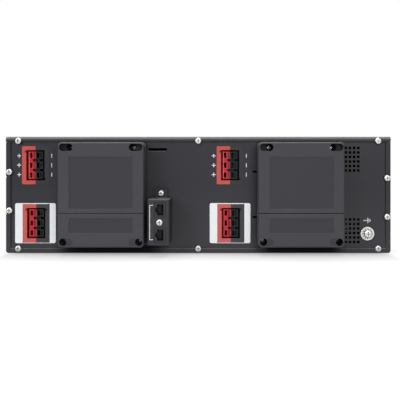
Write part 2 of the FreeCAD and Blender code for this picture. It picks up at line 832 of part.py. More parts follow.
def screws():
    bright = cross_head_screw("bright_screw", d.screw_radius, d.screw_length, d.screw_head_radius,
                              d.screw_head_height, d.screw_cross_span)
    seats = [(x, rear_y, z) for x, z in border_screws]
    seats.append((detection_tab_x, panel_y - d.detection_wall, detection_screw_z))
    seats.append((detection_screw_x, detection_face, d.detection_z))
    group("rear_screws", [link_to(bright, seat) for seat in seats])
    group("front_plate_screws", [link_to(bright, (x, front_y, z), 180) for x, z in front_screws])
    dark = cross_head_screw("dark_screw", d.screw_radius, d.cover_screw_length, d.cover_screw_head_radius,
                            d.screw_head_height, d.screw_cross_span)
    group("cover_screws", [link_to(dark, (x + offset, panel_y - d.well_floor, z))
                           for x in cover_places for offset, z in well_places])
    flush = countersunk_screw("flush_screw")
    group("lid_screws", [link_to(flush, (x, y, d.case_height)) for x, y in lid_screws])


def ring(name, radius, bore, gauge):
    """A washer that lies on the XZ plane and stands out towards -Y."""
    body = new_body(name)
    pad(body, "XZ", (0, 0, 0), disc(radius), gauge)
    pocket(body, "XZ", (0, -gauge, 0), disc(bore))
    return body


def earth_terminal():
    bore = d.earth_radius + d.washer_bore_gap
    plain = ring("plain_washer", d.washer_radius, bore, d.washer_gauge)
    toothed = ring("toothed_washer", d.lock_washer_radius, bore, d.lock_washer_gauge)
    tooth = pocket(toothed, "XZ", (d.lock_washer_radius - d.lock_tooth_depth / 2, -d.lock_washer_gauge, 0),
                   rect(d.lock_tooth_depth, d.lock_tooth_width))
    teeth = toothed.newObject("PartDesign::PolarPattern", "toothed_washer_teeth")
    teeth.Axis = (next(item for item in toothed.Origin.OriginFeatures if item.Role == "Y_Axis"), [""])
    teeth.Occurrences = LOCK_TEETH
    teeth.Originals = [tooth]
    toothed.Tip = teeth
    group("earth_washers", [
        link_to(plain, (earth_x, panel_y, d.earth_z)),
        link_to(toothed, (earth_x, panel_y - d.washer_gauge, d.earth_z)),
    ])
    screw = cross_head_screw("earth_bolt", d.earth_radius, d.earth_length, d.earth_head_radius,
                             d.earth_head_height, d.earth_cross_span)
    seat = panel_y - d.washer_gauge - d.lock_washer_gauge
    group("earth_screw", [link_to(screw, (earth_x, seat, d.earth_z))])


# Service covers

def service_cover():
    """Hollow moulded cover about its own middle, with its open back on the XZ plane."""
    body = new_body("service_cover")
    front = -d.cover_depth
    pad(body, "XZ", (0, 0, 0), rect(d.cover_width, cover_height), d.cover_depth)
    round_edges(body, d.cover_corner, lambda e: runs_along(e, "Y"))
    round_edges(body, d.cover_round, lambda e: lies_at(e, "Y", front))
    pocket(body, "XZ", (0, 0, 0),
           rect(d.cover_width - 2 * d.cover_wall, cover_height - 2 * d.cover_wall),
           d.cover_depth - d.cover_wall, reverse=True)
    spread = d.well_outer_x - d.well_inner_x
    pill_x = (d.well_outer_x + d.well_inner_x) / 2
    boss = pill(spread, d.well_radius + d.well_wall)
    recess = pill(spread, d.well_radius)
    ends = ((1, d.well_inner_x, d.pill_deep), (-1, d.well_outer_x, d.pill_shallow))
    for end, well_x, pill_depth in ends:
        z = (cover_height / 2 - d.well_inset) * end
        for side in SIDES:
            pad(body, "XZ", (pill_x * side, 0, z), boss, d.cover_depth - d.cover_wall)
            pocket(body, "XZ", (pill_x * side, front, z), recess, pill_depth)
            pocket(body, "XZ", (well_x * side, front, z), disc(d.well_radius), d.cover_depth - d.well_floor)
            pocket(body, "XZ", (well_x * side, front, z), disc(notch_radius), d.cover_depth)
    field_high = cover_height - d.cover_field_margin - d.cover_groove_z - d.cover_field_rise
    high_z = cover_height / 2 - d.cover_field_margin - field_high / 2
    low_z = d.cover_field_margin + d.cover_field_low / 2 - cover_height / 2
    for z, height in ((high_z, field_high), (low_z, d.cover_field_low)):
        pocket(body, "XZ", (0, front, z), rect(d.cover_field_width, height), d.cover_field_depth)
    pocket(body, "XZ", (0, front, d.cover_groove_z - cover_height / 2),
           rect(d.cover_width, d.cover_groove_width), d.cover_groove_depth)
    return body


def service_covers():
    cover = service_cover()
    for name, x in zip(("service_cover_left", "service_cover_right"), cover_places):
        group(name, [link_to(cover, (x, panel_y, cover_mid))])


# Power ports

def contact_housing():
    """One contact housing with its mouth on the XZ plane, a tongue on the right and a blade hole."""
    body = new_body("contact_housing")
    mouth = d.housing_size - 2 * d.housing_wall
    pad(body, "XZ", (0, 0, 0), rect(d.housing_size, d.housing_size), d.housing_length, reverse=True)
    pocket(body, "XZ", (0, 0, 0), rect(mouth, mouth), d.housing_mouth_depth)
    pad(body, "XZ", (mouth / 2 - d.tongue_width / 2, d.tongue_step, 0), rect(d.tongue_width, mouth),
        d.housing_mouth_depth - d.tongue_step, reverse=True)
    pocket(body, "XZ", (d.contact_offset, 0, 0),
           rect(d.contact_width + 2 * d.contact_gap, d.contact_height + 2 * d.contact_gap))
    return body


def spacer():
    """The plain piece between two housings, notched on the right."""
    body = new_body("housing_spacer")
    pad(body, "XZ", (0, 0, 0), rect(d.housing_size, d.spacer_height), d.housing_length, reverse=True)
    pocket(body, "XZ", (d.housing_size / 2 - d.spacer_notch_width / 2, 0, 0),
           rect(d.spacer_notch_width, d.spacer_height), d.spacer_notch_depth)
    return body


def port_holder():
    """Moulded holder behind the panel: a flange, a well and a floor that grips the housings."""
    body = new_body("port_holder")
    block_width = 2 * d.housing_size
    block_height = PORT_ROWS * d.housing_size + (PORT_ROWS - 1) * d.spacer_height
    well = rect(d.cutout_width, d.cutout_height)
    tube = rect(d.cutout_width + 2 * d.holder_wall, d.cutout_height + 2 * d.holder_wall)
    rim = rect(d.cutout_width + 2 * d.holder_flange, d.cutout_height + 2 * d.holder_flange)
    pad(body, "XZ", (0, 0, 0), rim, d.holder_flange_gauge, reverse=True)
    pad(body, "XZ", (0, 0, 0), tube, d.holder_depth, reverse=True)
    pocket(body, "XZ", (0, 0, 0), well, d.holder_depth - d.holder_floor)
    pocket(body, "XZ", (0, 0, 0),
           rect(block_width + 2 * d.holder_fit, block_height + 2 * d.holder_fit))
    return body


def contact_blade():
    blade = doc.addObject("Part::Box", "contact_blade")
    bind(blade, "Length", d.contact_width)
    bind(blade, "Width", d.housing_length - d.contact_recess + d.contact_tail)
    bind(blade, "Height", d.contact_height)
    bind(blade, "Placement.Base.x", -d.contact_width / 2)
    bind(blade, "Placement.Base.z", -d.contact_height / 2)
    return blade


def bus_bar():
    """Flat bar behind two ports, about the middle of its front face."""
    bar = doc.addObject("Part::Box", "bus_bar")
    height = port_pitch_z + row_pitch * (PORT_ROWS - 1) + 2 * d.bus_overhang
    bind(bar, "Length", d.bus_width)
    bind(bar, "Width", d.bus_gauge)
    bind(bar, "Height", height)
    bind(bar, "Placement.Base.x", -d.bus_width / 2)
    bind(bar, "Placement.Base.z", -height / 2)
    return bar


def power_ports():
    housing = contact_housing()
    between = spacer()
    blade = contact_blade()
    rows = [row_pitch * (row - (PORT_ROWS - 1) / 2) for row in range(PORT_ROWS)]
    gaps = [row_pitch * (row - (PORT_ROWS - 2) / 2) for row in range(PORT_ROWS - 1)]
    contacts = []
    for number, (x, z, ears) in enumerate(PORTS, start=1):
        for pole, side in (("positive", -1), ("negative", 1)):
            middle = x + d.housing_size / 2 * side
            links = [link_to(housing, (middle, housing_front, z + step)) for step in rows]
            links += [link_to(between, (middle, housing_front, z + step)) for step in gaps]
            group(f"port_{number}_{pole}_housings", links)
            blade_x = middle + d.contact_offset
            blade_y = housing_front + d.contact_recess
            contacts += [link_to(blade, (blade_x, blade_y, z + step)) for step in rows]
    group("port_contacts", contacts)
    holder = port_holder()
    group("port_holders", [link_to(holder, (x, panel_back, z)) for x, z, ears in PORTS])
    bar = bus_bar()
    for pole, side in (("positive", -1), ("negative", 1)):
        group(f"{pole}_bus_bars", [
            link_to(bar, (bus_x(column, side), bus_front, d.port_z + port_pitch_z / 2))
            for column in (0, 1)
        ])


def bus_x(column, side):
    """Middle of a bus bar, in line with the contacts of its column of housings."""
    return port_columns[column] + d.housing_size / 2 * side + d.contact_offset


# Labels

def colour_label(name, side, end):
    """Half of a port's colour frame, on the side and with the ear of one corner."""
    body = new_body(name)
    half = d.colour_label_width / 2
    pad(body, "XZ", (half / 2 * side, 0, 0), rect(half, d.colour_label_height), d.label_gauge)
    round_edges(body, d.colour_label_corner, lambda e: runs_along(e, "Y") and lies_at(e, "X", half * side))
    inner = d.cutout_width / 2
    pocket(body, "XZ", (inner / 2 * side, -d.label_gauge, 0), rect(inner, d.cutout_height))
    pocket(body, "XZ", (ear_x * side, -d.label_gauge, ear_z * end),
           rect(d.cutout_ear, d.cutout_ear_height))
    return body


def white_label():
    """Pale label with a window for the colour frame, about the middle of the port's column."""
    body = new_body("white_label")
    pad(body, "XZ", (0, 0, 0), rect(d.white_label_width, d.white_label_height), d.label_gauge)
    round_edges(body, d.white_label_corner, lambda e: runs_along(e, "Y"))
    pocket(body, "XZ", (d.lower_port_shift, -d.label_gauge, 0),
           rect(d.colour_label_width + 2 * d.label_gap, d.colour_label_height + 2 * d.label_gap))
    return body


def labels():
    red = colour_label("red_label", -1, 1)
    grey = {-1: colour_label("grey_label_upper", 1, -1), 1: colour_label("grey_label_lower", 1, 1)}
    group("port_labels_red", [link_to(red, (x, panel_y, z)) for x, z, ears in PORTS])
    group("port_labels_grey", [link_to(grey[ears[1][1]], (x, panel_y, z)) for x, z, ears in PORTS])
    pale = white_label()
    for name, x in zip(("white_label_left", "white_label_right"), port_columns):
        group(name, [link_to(pale, (x, panel_y, d.port_z))])


# Detection port box

def modular_jack():
    """Jack turned on its side with its face on the XZ plane and the latch slot on the left."""
    body = new_body("modular_jack")
    pad(body, "XZ", (0, 0, 0), rect(d.jack_width, d.jack_height), d.jack_depth, reverse=True)
    pocket(body, "XZ", (d.jack_mouth_shift, 0, 0), rect(d.jack_mouth_width, d.jack_mouth_height),
           d.jack_mouth_depth)
    latch_x = d.jack_mouth_shift - d.jack_mouth_width / 2 - d.jack_latch_width / 2
    pocket(body, "XZ", (latch_x, 0, 0), rect(d.jack_latch_width, d.jack_latch_height), d.jack_mouth_depth)
    key_x = latch_x - d.jack_latch_width / 2 - d.jack_key_width / 2
    pocket(body, "XZ", (key_x, 0, 0), rect(d.jack_key_width, d.jack_key_height), d.jack_mouth_depth)
    return body


def detection_port():
    box = new_body("detection_box")
    x, z = detection_x, d.detection_z
    pad(box, "XZ", (x, panel_y, z), rect(d.detection_width, d.detection_height), d.detection_depth)
    round_edges(box, d.detection_round,
                lambda e: runs_along(e, "Y") or lies_at(e, "Y", detection_face))
    inner_width = d.detection_width - 2 * d.detection_wall
    inner_height = d.detection_height - 2 * d.detection_wall
    pocket(box, "XZ", (x, panel_y, z), rect(inner_width, inner_height),
           d.detection_depth - d.detection_wall, reverse=True)
    pad(box, "XZ", (detection_tab_x, panel_y, detection_top + d.detection_tab_height / 2),
        rect(d.detection_tab_width, d.detection_tab_height), d.detection_wall)
    pocket(box, "XZ", (detection_tab_x, panel_y - d.detection_wall, detection_screw_z), disc(notch_radius))
    pocket(box, "XZ", (detection_screw_x, detection_face, z), disc(notch_radius))
    jack_hole = rect(d.jack_width + 2 * d.jack_fit, d.jack_height + 2 * d.jack_fit)
    jack = modular_jack()
    for name, side in (("detection_jack_upper", 1), ("detection_jack_lower", -1)):
        jack_z = z + d.jack_spacing / 2 * side
        pocket(box, "XZ", (jack_x, detection_face, jack_z), jack_hole)
        group(name, [link_to(jack, (jack_x, detection_face, jack_z))])
    keep(box)

    board = new_body("detection_board")
    board_y = detection_face + d.jack_depth
    pad(board, "XZ", (x, board_y, z),
        rect(inner_width - 2 * d.board_gap, inner_height - 2 * d.board_gap), d.board_gauge, reverse=True)
    pocket(board, "XZ", (detection_screw_x, board_y, z), disc(d.standoff_radius + d.board_gap))
    keep(board)

    standoff = new_body("detection_standoff")
    standoff_end = detection_face + d.detection_wall
    pad(standoff, "XZ", (detection_screw_x, panel_y, z), disc(d.standoff_radius),
        d.detection_depth - d.detection_wall)
    pocket(standoff, "XZ", (detection_screw_x, standoff_end, z), disc(tapped_radius), d.standoff_bore_depth)
    keep(standoff)


# Batteries, trays, fuses and leads

def battery_tray():
    """Folded tray about the middle of its floor, with a taller front wall and a hand hole."""
    body = new_body("battery_tray")
    pad(body, "XY", (0, 0, 0), rect(tray_width, tray_length), d.tray_wall)
    pocket(body, "XY", (0, 0, d.tray_wall),
           rect(tray_width - 2 * d.tray_gauge, tray_length - 2 * d.tray_gauge), d.tray_wall - d.tray_gauge)
    wall_y = tray_length / 2 - d.tray_gauge / 2
    rise = d.tray_front_wall - d.tray_wall
    pad(body, "XY", (0, wall_y, d.tray_wall), rect(tray_width, d.tray_gauge), rise)
    pocket(body, "XZ", (0, tray_length / 2 - d.tray_gauge, d.tray_wall + rise / 2),
           rect(d.tray_grip_width, d.tray_grip_height))
    return body


def battery_block():
    """Sealed block about the middle of its foot, with two flat terminals at its -Y end."""
    body = new_body("battery_block")
    pad(body, "XY", (0, 0, 0), rect(d.block_width, d.block_length), d.block_height)
    round_edges(body, d.block_corner, lambda e: runs_along(e, "Z"))
    y = d.terminal_inset - d.block_length / 2
    for side in SIDES:
        x = d.terminal_x * side
        pocket(body, "XY", (x, y, d.block_height), rect(d.terminal_well_width, d.terminal_well_length),
               d.terminal_well_depth)
        pad(body, "XY", (x, y, d.block_height - d.terminal_well_depth),
            rect(d.terminal_width, d.terminal_gauge), d.terminal_well_depth + d.terminal_rise)
    return body


def strap(start, end):
    """Flat link that lies on two terminals."""
    run = end - start
    length = run.Length + d.link_width.number
    bar = Part.makeBox(length, d.link_width.number, d.link_gauge.number,
                       vector(-d.link_width / 2, -d.link_width / 2, 0))
    bar.rotate(vector(0, 0, 0), vector(0, 0, 1), math.degrees(math.atan2(run.y, run.x)))
    bar.translate(start)
    return bar


# Each tray's string of blocks as (row, column), to and fro from beside the bay that stays free
STRING = []
for row in range(tray_rows):
    bays = [(row, column) for column in range(tray_columns)]
    STRING += bays[::-1] if row % 2 else bays
STRING = STRING[1:]


def block_place(tray_x, row, column):
    x = tray_x + (d.block_width + d.block_gap) * (column - (tray_columns - 1) / 2)
    y = tray_mid + (d.block_length + d.block_gap) * (row - (tray_rows - 1) / 2)
    return x, y, block_z


def terminal_place(tray_x, row, column, pole):
    """Top of a terminal; the blocks of every second row are turned round."""
    x, y, z = block_place(tray_x, row, column)
    turned = -1 if row % 2 else 1
    offset = d.block_length / 2 - d.terminal_inset
    return x + d.terminal_x * (pole * turned), y - offset * turned, terminal_top


def batteries():
    tray = battery_tray()
    block = battery_block()
    number = 0
    for name, tray_x in zip(("left", "right"), tray_places):
        group(f"battery_tray_{name}", [link_to(tray, (tray_x, tray_mid, d.gauge))])
        for row, column in STRING:
            number += 1
            turn = 180 if row % 2 else 0
            group(f"battery_{number:02d}", [link_to(block, block_place(tray_x, row, column), turn)])
        links = []
        for place, following in zip(STRING, STRING[1:]):
            start = vector(*terminal_place(tray_x, *place, 1))
            end = vector(*terminal_place(tray_x, *following, -1))
            links.append(strap(start, end))
        straps = doc.addObject("Part::Feature", f"battery_links_{name}")
        straps.Shape = Part.makeCompound(links)
        keep(straps)


fuse_base_top = d.gauge + d.fuse_base_height
foot_top = fuse_base_top + d.fuse_foot_gauge
foot_x = d.fuse_clip_x + d.fuse_clip_gauge / 2 + d.fuse_foot_length / 2


def fuse_clip():
    """Spring clip with a foot to the right, about the middle of its seat."""
    body = new_body("fuse_clip")
    pad(body, "XY", (0, 0, 0), rect(d.fuse_clip_gauge, d.fuse_clip_depth), d.fuse_clip_height)
    pad(body, "XY", (d.fuse_clip_gauge / 2 + d.fuse_foot_length / 2, 0, 0),
        rect(d.fuse_foot_length, d.fuse_clip_depth), d.fuse_foot_gauge)
    pocket(body, "YZ", (d.fuse_clip_gauge / 2, 0, d.fuse_lift), disc(d.fuse_radius + d.fuse_fit),
           d.fuse_clip_gauge)
    pocket(body, "XY", (0, 0, d.fuse_clip_height), rect(d.fuse_clip_gauge, d.fuse_clip_mouth),
           d.fuse_clip_height - d.fuse_lift)
    return body


def fuses():
    base = new_body("fuse_base")
    pad(base, "XY", (0, 0, 0), rect(d.fuse_base_width, d.fuse_base_depth), d.fuse_base_height)
    group("fuse_holders", [link_to(base, (x, fuse_y, d.gauge)) for x in cover_places])
    clip = fuse_clip()
    group("fuse_clips", [link_to(clip, (x + d.fuse_clip_x * side, fuse_y, fuse_base_top), 90 - 90 * side)
                         for x in cover_places for side in SIDES])
    cartridge = new_body("fuse_cartridge")
    pad(cartridge, "YZ", (-d.fuse_length / 2, 0, 0), disc(d.fuse_radius), d.fuse_length)
    group("fuses", [link_to(cartridge, (x, fuse_y, fuse_base_top + d.fuse_lift)) for x in cover_places])


def lead_path(points, bend):
    """Straight runs joined by tangent arcs of one radius."""
    edges = []
    start = points[0]
    for corner, following in zip(points[1:-1], points[2:]):
        back = (start - corner).normalize()
        ahead = (following - corner).normalize()
        half_turn = back.getAngle(ahead) / 2
        trim = bend / math.tan(half_turn)
        middle = (back + ahead).normalize()
        first, last = corner + back * trim, corner + ahead * trim
        crown = corner + middle * (bend / math.sin(half_turn) - bend)
        edges.append(Part.LineSegment(start, first).toShape())
        edges.append(Part.Arc(first, crown, last).toShape())
        start = last
    edges.append(Part.LineSegment(start, points[-1]).toShape())
    return Part.Wire(edges)


def lead(places):
    points = [vector(*place) for place in places]
    path = lead_path(points, d.lead_bend.number)
    radius = d.lead_radius.number
    section = Part.Wire(Part.makeCircle(radius, points[0], points[1] - points[0]))
    tube = path.makePipeShell([section], True, True)
    expected = math.pi * radius ** 2 * path.Length
    if abs(tube.Volume - expected) > 0.01 * expected:
        raise ValueError("a lead's volume does not match its section and length")
    return tube


def leads():
    """Insulated leads from each string to its fuse and bus bars."""
    runs = {"fuse_leads": [], "positive_leads": [], "negative_leads": []}
    for column, tray_x in enumerate(tray_places):
        fuse_x = cover_places[column]
        cross_y = tray_mid - tray_length / 2 - d.lead_cross_y
        plus_x, minus_x = bus_x(column, -1), bus_x(column, 1)
        start = terminal_place(tray_x, *STRING[0], -1)
        runs["positive_leads"].append(lead([
            start,
            (start[0], start[1], lead_z),
            (fuse_x + foot_x, fuse_y, lead_z),
            (fuse_x + foot_x, fuse_y, foot_top),
        ]))
        runs["fuse_leads"].append(lead([
            (fuse_x - foot_x, fuse_y, foot_top),
            (fuse_x - foot_x, fuse_y, d.fuse_lead_z),
            (plus_x, fuse_y, d.fuse_lead_z),
            (plus_x, bus_back, d.fuse_lead_z),
        ]))
        start = terminal_place(tray_x, *STRING[-1], 1)
        runs["negative_leads"].append(lead([
            start,
            (start[0], start[1], lead_z),
            (start[0], cross_y, lead_z),
            (start[0], cross_y, d.negative_lead_z),
            (minus_x, cross_y, d.negative_lead_z),
            (minus_x, bus_back, d.negative_lead_z),
        ]))
    for name, tubes in runs.items():
        feature = doc.addObject("Part::Feature", name)
        feature.Shape = Part.makeCompound(tubes)
        keep(feature)


chassis_tray()
lid()
rear_panel()
front_plate()
front_bezel()
screws()
earth_terminal()
service_covers()
power_ports()
labels()
detection_port()
batteries()
fuses()
leads()
doc.recompute()

for item in doc.Objects:
    if "Invalid" in item.State or "Error" in item.State:
        raise ValueError(f"{item.Label} did not build")
    if item.TypeId == "PartDesign::Pocket":
        if item.BaseFeature.Shape.Volume - item.Shape.Volume < 1e-6:
            raise ValueError(f"{item.Label} cuts nothing")
for item in parts:
    if item.Shape.isNull() or not item.Shape.isValid() or not item.Shape.Solids:
        raise ValueError(f"{item.Label} has no valid solid")

os.makedirs("parts", exist_ok=True)
for item in parts:
    item.Shape.exportStep(f"parts/{item.Label}.step")
print(len(parts), "parts,", sum(len(item.Shape.Solids) for item in parts), "solids")
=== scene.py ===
import json
import math

import bpy
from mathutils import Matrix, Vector


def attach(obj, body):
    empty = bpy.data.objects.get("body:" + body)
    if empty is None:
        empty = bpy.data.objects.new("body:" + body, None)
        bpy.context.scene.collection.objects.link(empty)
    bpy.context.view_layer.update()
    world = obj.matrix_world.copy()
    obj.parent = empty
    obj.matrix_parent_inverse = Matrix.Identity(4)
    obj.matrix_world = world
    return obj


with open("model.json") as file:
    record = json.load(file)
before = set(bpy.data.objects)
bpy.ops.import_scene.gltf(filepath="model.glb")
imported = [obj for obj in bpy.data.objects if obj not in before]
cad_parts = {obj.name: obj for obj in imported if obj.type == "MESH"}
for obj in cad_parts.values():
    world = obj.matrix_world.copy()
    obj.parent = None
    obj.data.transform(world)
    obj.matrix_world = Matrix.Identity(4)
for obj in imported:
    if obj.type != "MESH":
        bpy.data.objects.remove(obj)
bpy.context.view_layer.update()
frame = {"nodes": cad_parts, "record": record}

MM = 0.001

# Where the solids lie on the connector side: X to the right, Y into the case, Z up

PANEL_Y = -272.8 * MM
CASE_LIP = 9.0 * MM
TIE_SLOT_X = (-56.6 * MM, -36.0 * MM)
# Heights of the tie slot's lower lip, which gets a painted highlight
TIE_SLOT_EDGE = (113.3 * MM, 114.3 * MM)
PORT_X = (-182.0 * MM, 35.5 * MM)
UPPER_PORT_Z = 98.1 * MM
LABEL_ROW_Z = 62.0 * MM
COVER_FACE_Y = -296.8 * MM
COVER_GROOVE_Z = (45.8 * MM, 47.0 * MM)
# Spans below the two covers where their shadow is painted on the lip
UNDER_COVERS = ((-164.0 * MM, -36.0 * MM), (60.0 * MM, 168.0 * MM))
BOX_X = -41.8 * MM
BOX_FACE_Y = -304.8 * MM
BOX_TOP = 62.2 * MM
JACK_X = -39.8 * MM
JACK_Z = (51.1 * MM, 23.9 * MM)

# Spans that take in the whole object or one half of it

ANYWHERE = (-1.0, 1.0)
LEFT_HALF = (-1.0, 0.0)
RIGHT_HALF = (0.0, 1.0)

# Colour fields of the port labels, and how far they run on over the white labels

LOW_RED = (0.51, 0.097, 0.089)
LOW_GREY = (0.0400, 0.0415, 0.0460)
FIELD_LEFT = 14.6 * MM
FIELD_RIGHT = 16.0 * MM
FIELD_FOOT_Z = (11.5 * MM, 12.9 * MM)
FIELD_SIDE_Z = (11.5 * MM, 55.2 * MM)
FIELD_SIDE_WIDTH = 1.0 * MM
FIELD_ROUGH = 0.5


# Shader building blocks

NOISE = (0.3, 0.7)
WORN_PATCHES = (0.3, 0.65)
SCRATCH_LINES = (0.35, 0.68)
ROUNDED_EDGE = (0.985, 0.80)
LOOKING_UP = (0.1, 0.6)
SLOPING = (0.02, 0.3)
LEVEL = (0.9, 0.995)
DUST_LEFT_LEVEL = (1.0, 0.25)
DUST_UNEVEN = (0.5, 0.7)
OPEN_TO_HOLLOW = (0.95, 0.45)
BEVEL_SAMPLES = 4
HOLLOW_SAMPLES = 4


def new_group(name, inputs, outputs):
    """An empty shader group with its named sockets; returns the tree and its two end nodes."""
    tree = bpy.data.node_groups.new(name, "ShaderNodeTree")
    for label, kind, value in inputs:
        socket = tree.interface.new_socket(name=label, in_out="INPUT", socket_type=kind)
        if value is not None:
            socket.default_value = value
    for label in outputs:
        tree.interface.new_socket(name=label, in_out="OUTPUT", socket_type="NodeSocketFloat")
    return tree, tree.nodes.new("NodeGroupInput"), tree.nodes.new("NodeGroupOutput")


def plug(tree, socket, value):
    """Links a socket to an output, or sets its plain value."""
    if isinstance(value, bpy.types.NodeSocket):
        tree.links.new(value, socket)
    else:
        socket.default_value = value


def plug_named(tree, node, inputs):
    """Sets or links a node's inputs by name, an underscore standing for a space."""
    for key, value in inputs.items():
        plug(tree, node.inputs[key.replace("_", " ")], value)
    return node


def put(tree, kind, settings=None, **inputs):
    """Adds a node, sets its properties and then its inputs."""
    node = tree.nodes.new(kind)
    for key, value in (settings or {}).items():
        setattr(node, key, value)
    return plug_named(tree, node, inputs)


def use_group(tree, group, **inputs):
    """Places a shared group in a material with its own values."""
    return plug_named(tree, put(tree, "ShaderNodeGroup", {"node_tree": group}), inputs)


def math_node(tree, operation, first, second=0.0):
    node = put(tree, "ShaderNodeMath", {"operation": operation})
    plug(tree, node.inputs[0], first)
    plug(tree, node.inputs[1], second)
    return node.outputs[0]


def vector_node(tree, operation, *vectors):
    node = put(tree, "ShaderNodeVectorMath", {"operation": operation})
    for socket, vector in zip(node.inputs, vectors):
        plug(tree, socket, vector)
    return node


def axis_of(tree, vector, axis):
    """One coordinate of a vector."""
    return put(tree, "ShaderNodeSeparateXYZ", Vector=vector).outputs[axis]


def ramp(tree, value, low, high, start=0.0, end=1.0):
    """Maps low..high of a value to start..end and holds it there."""
    node = put(tree, "ShaderNodeMapRange", Value=value, From_Min=low, From_Max=high,
               To_Min=start, To_Max=end)
    return node.outputs["Result"]


def noise(tree, vector, scale, **settings):
    return put(tree, "ShaderNodeTexNoise", Vector=vector, Scale=scale, **settings).outputs[0]


def blend_colours(tree, factor, first, second):
    node = put(tree, "ShaderNodeMix", {"data_type": "RGBA"})
    plug(tree, node.inputs[0], factor)
    plug(tree, node.inputs[6], first)
    plug(tree, node.inputs[7], second)
    return node.outputs[2]


def grain_group():
    """Fine grain of a coat or a moulded skin, with a broad cloudiness below it."""
    tree, start, end = new_group(
        "surface_grain",
        [("Vector", "NodeSocketVector", None), ("Grain Scale", "NodeSocketFloat", 1500.0),
         ("Cloud Scale", "NodeSocketFloat", 18.0)],
        ["Grain", "Cloud"])
    place = start.outputs["Vector"]
    fine = noise(tree, place, start.outputs["Grain Scale"], Detail=3.0, Roughness=0.6)
    broad = noise(tree, place, start.outputs["Cloud Scale"], Detail=4.0, Roughness=0.55)
    plug(tree, end.inputs["Grain"], ramp(tree, fine, *NOISE))
    plug(tree, end.inputs["Cloud"], ramp(tree, broad, *NOISE))
    return tree


def edge_group():
    """Masks of edges, where the rounded normal leaves the flat one: all, worn ones, upper ones; all
    and upper ones carry painted highlights.
    """
    tree, start, end = new_group(
        "edge_wear_and_highlight",
        [("Vector", "NodeSocketVector", None), ("Radius", "NodeSocketFloat", 0.6 * MM),
         ("Patch Scale", "NodeSocketFloat", 120.0)],
        ["Edge", "Mask", "Upward"])
    bevel = put(tree, "ShaderNodeBevel", {"samples": BEVEL_SAMPLES}, Radius=start.outputs["Radius"])
    rounded = bevel.outputs["Normal"]
    flat = tree.nodes.new("ShaderNodeNewGeometry").outputs["Normal"]
    facing = vector_node(tree, "DOT_PRODUCT", rounded, flat).outputs["Value"]
    edge = ramp(tree, facing, *ROUNDED_EDGE)
    patch = noise(tree, start.outputs["Vector"], start.outputs["Patch Scale"], Detail=4.0)
    worn = ramp(tree, patch, *WORN_PATCHES)
    upward = ramp(tree, axis_of(tree, rounded, "Z"), *LOOKING_UP)
    plug(tree, end.inputs["Edge"], edge)
    plug(tree, end.inputs["Mask"], math_node(tree, "MULTIPLY", edge, worn))
    plug(tree, end.inputs["Upward"], math_node(tree, "MULTIPLY", edge, upward))
    return tree


def dust_group():
    """Mask of thin dust on faces that look up, most of it along their bends and edges."""
    tree, start, end = new_group(
        "settled_dust",
        [("Vector", "NodeSocketVector", None), ("Scale", "NodeSocketFloat", 60.0)],
        ["Mask"])
    normal = tree.nodes.new("ShaderNodeNewGeometry").outputs["Normal"]
    upward = axis_of(tree, normal, "Z")
    sloping = ramp(tree, upward, *SLOPING)
    level = ramp(tree, upward, *LEVEL, *DUST_LEFT_LEVEL)
    cloud = noise(tree, start.outputs["Vector"], start.outputs["Scale"], Detail=6.0, Roughness=0.65)
    uneven = ramp(tree, cloud, *NOISE, *DUST_UNEVEN)
    settled = math_node(tree, "MULTIPLY", sloping, level)
    plug(tree, end.inputs["Mask"], math_node(tree, "MULTIPLY", settled, uneven))
    return tree


def scratch_group():
    """Fine scratches: a noise drawn out along one axis."""
    tree, start, end = new_group(
        "fine_scratches",
        [("Vector", "NodeSocketVector", None), ("Along", "NodeSocketVector", (1.0, 1.0, 1.0)),
         ("Scale", "NodeSocketFloat", 900.0)],
        ["Scratch"])
    drawn = vector_node(tree, "MULTIPLY", start.outputs["Vector"], start.outputs["Along"])
    lines = noise(tree, drawn.outputs["Vector"], start.outputs["Scale"], Detail=5.0, Roughness=0.7)
    plug(tree, end.inputs["Scratch"], ramp(tree, lines, *SCRATCH_LINES))
    return tree


def cavity_group():
    """Mask of painted shade where pieces meet in a hollow."""
    tree, start, end = new_group(
        "painted_hollow_shade",
        [("Distance", "NodeSocketFloat", 2.0 * MM)],
        ["Mask"])
    open_sky = put(tree, "ShaderNodeAmbientOcclusion", {"samples": HOLLOW_SAMPLES},
                   Distance=start.outputs["Distance"])
    plug(tree, end.inputs["Mask"], ramp(tree, open_sky.outputs["AO"], *OPEN_TO_HOLLOW))
    return tree


GRAIN = grain_group()
EDGES = edge_group()
CAVITIES = cavity_group()
DUST = dust_group()
SCRATCHES = scratch_group()


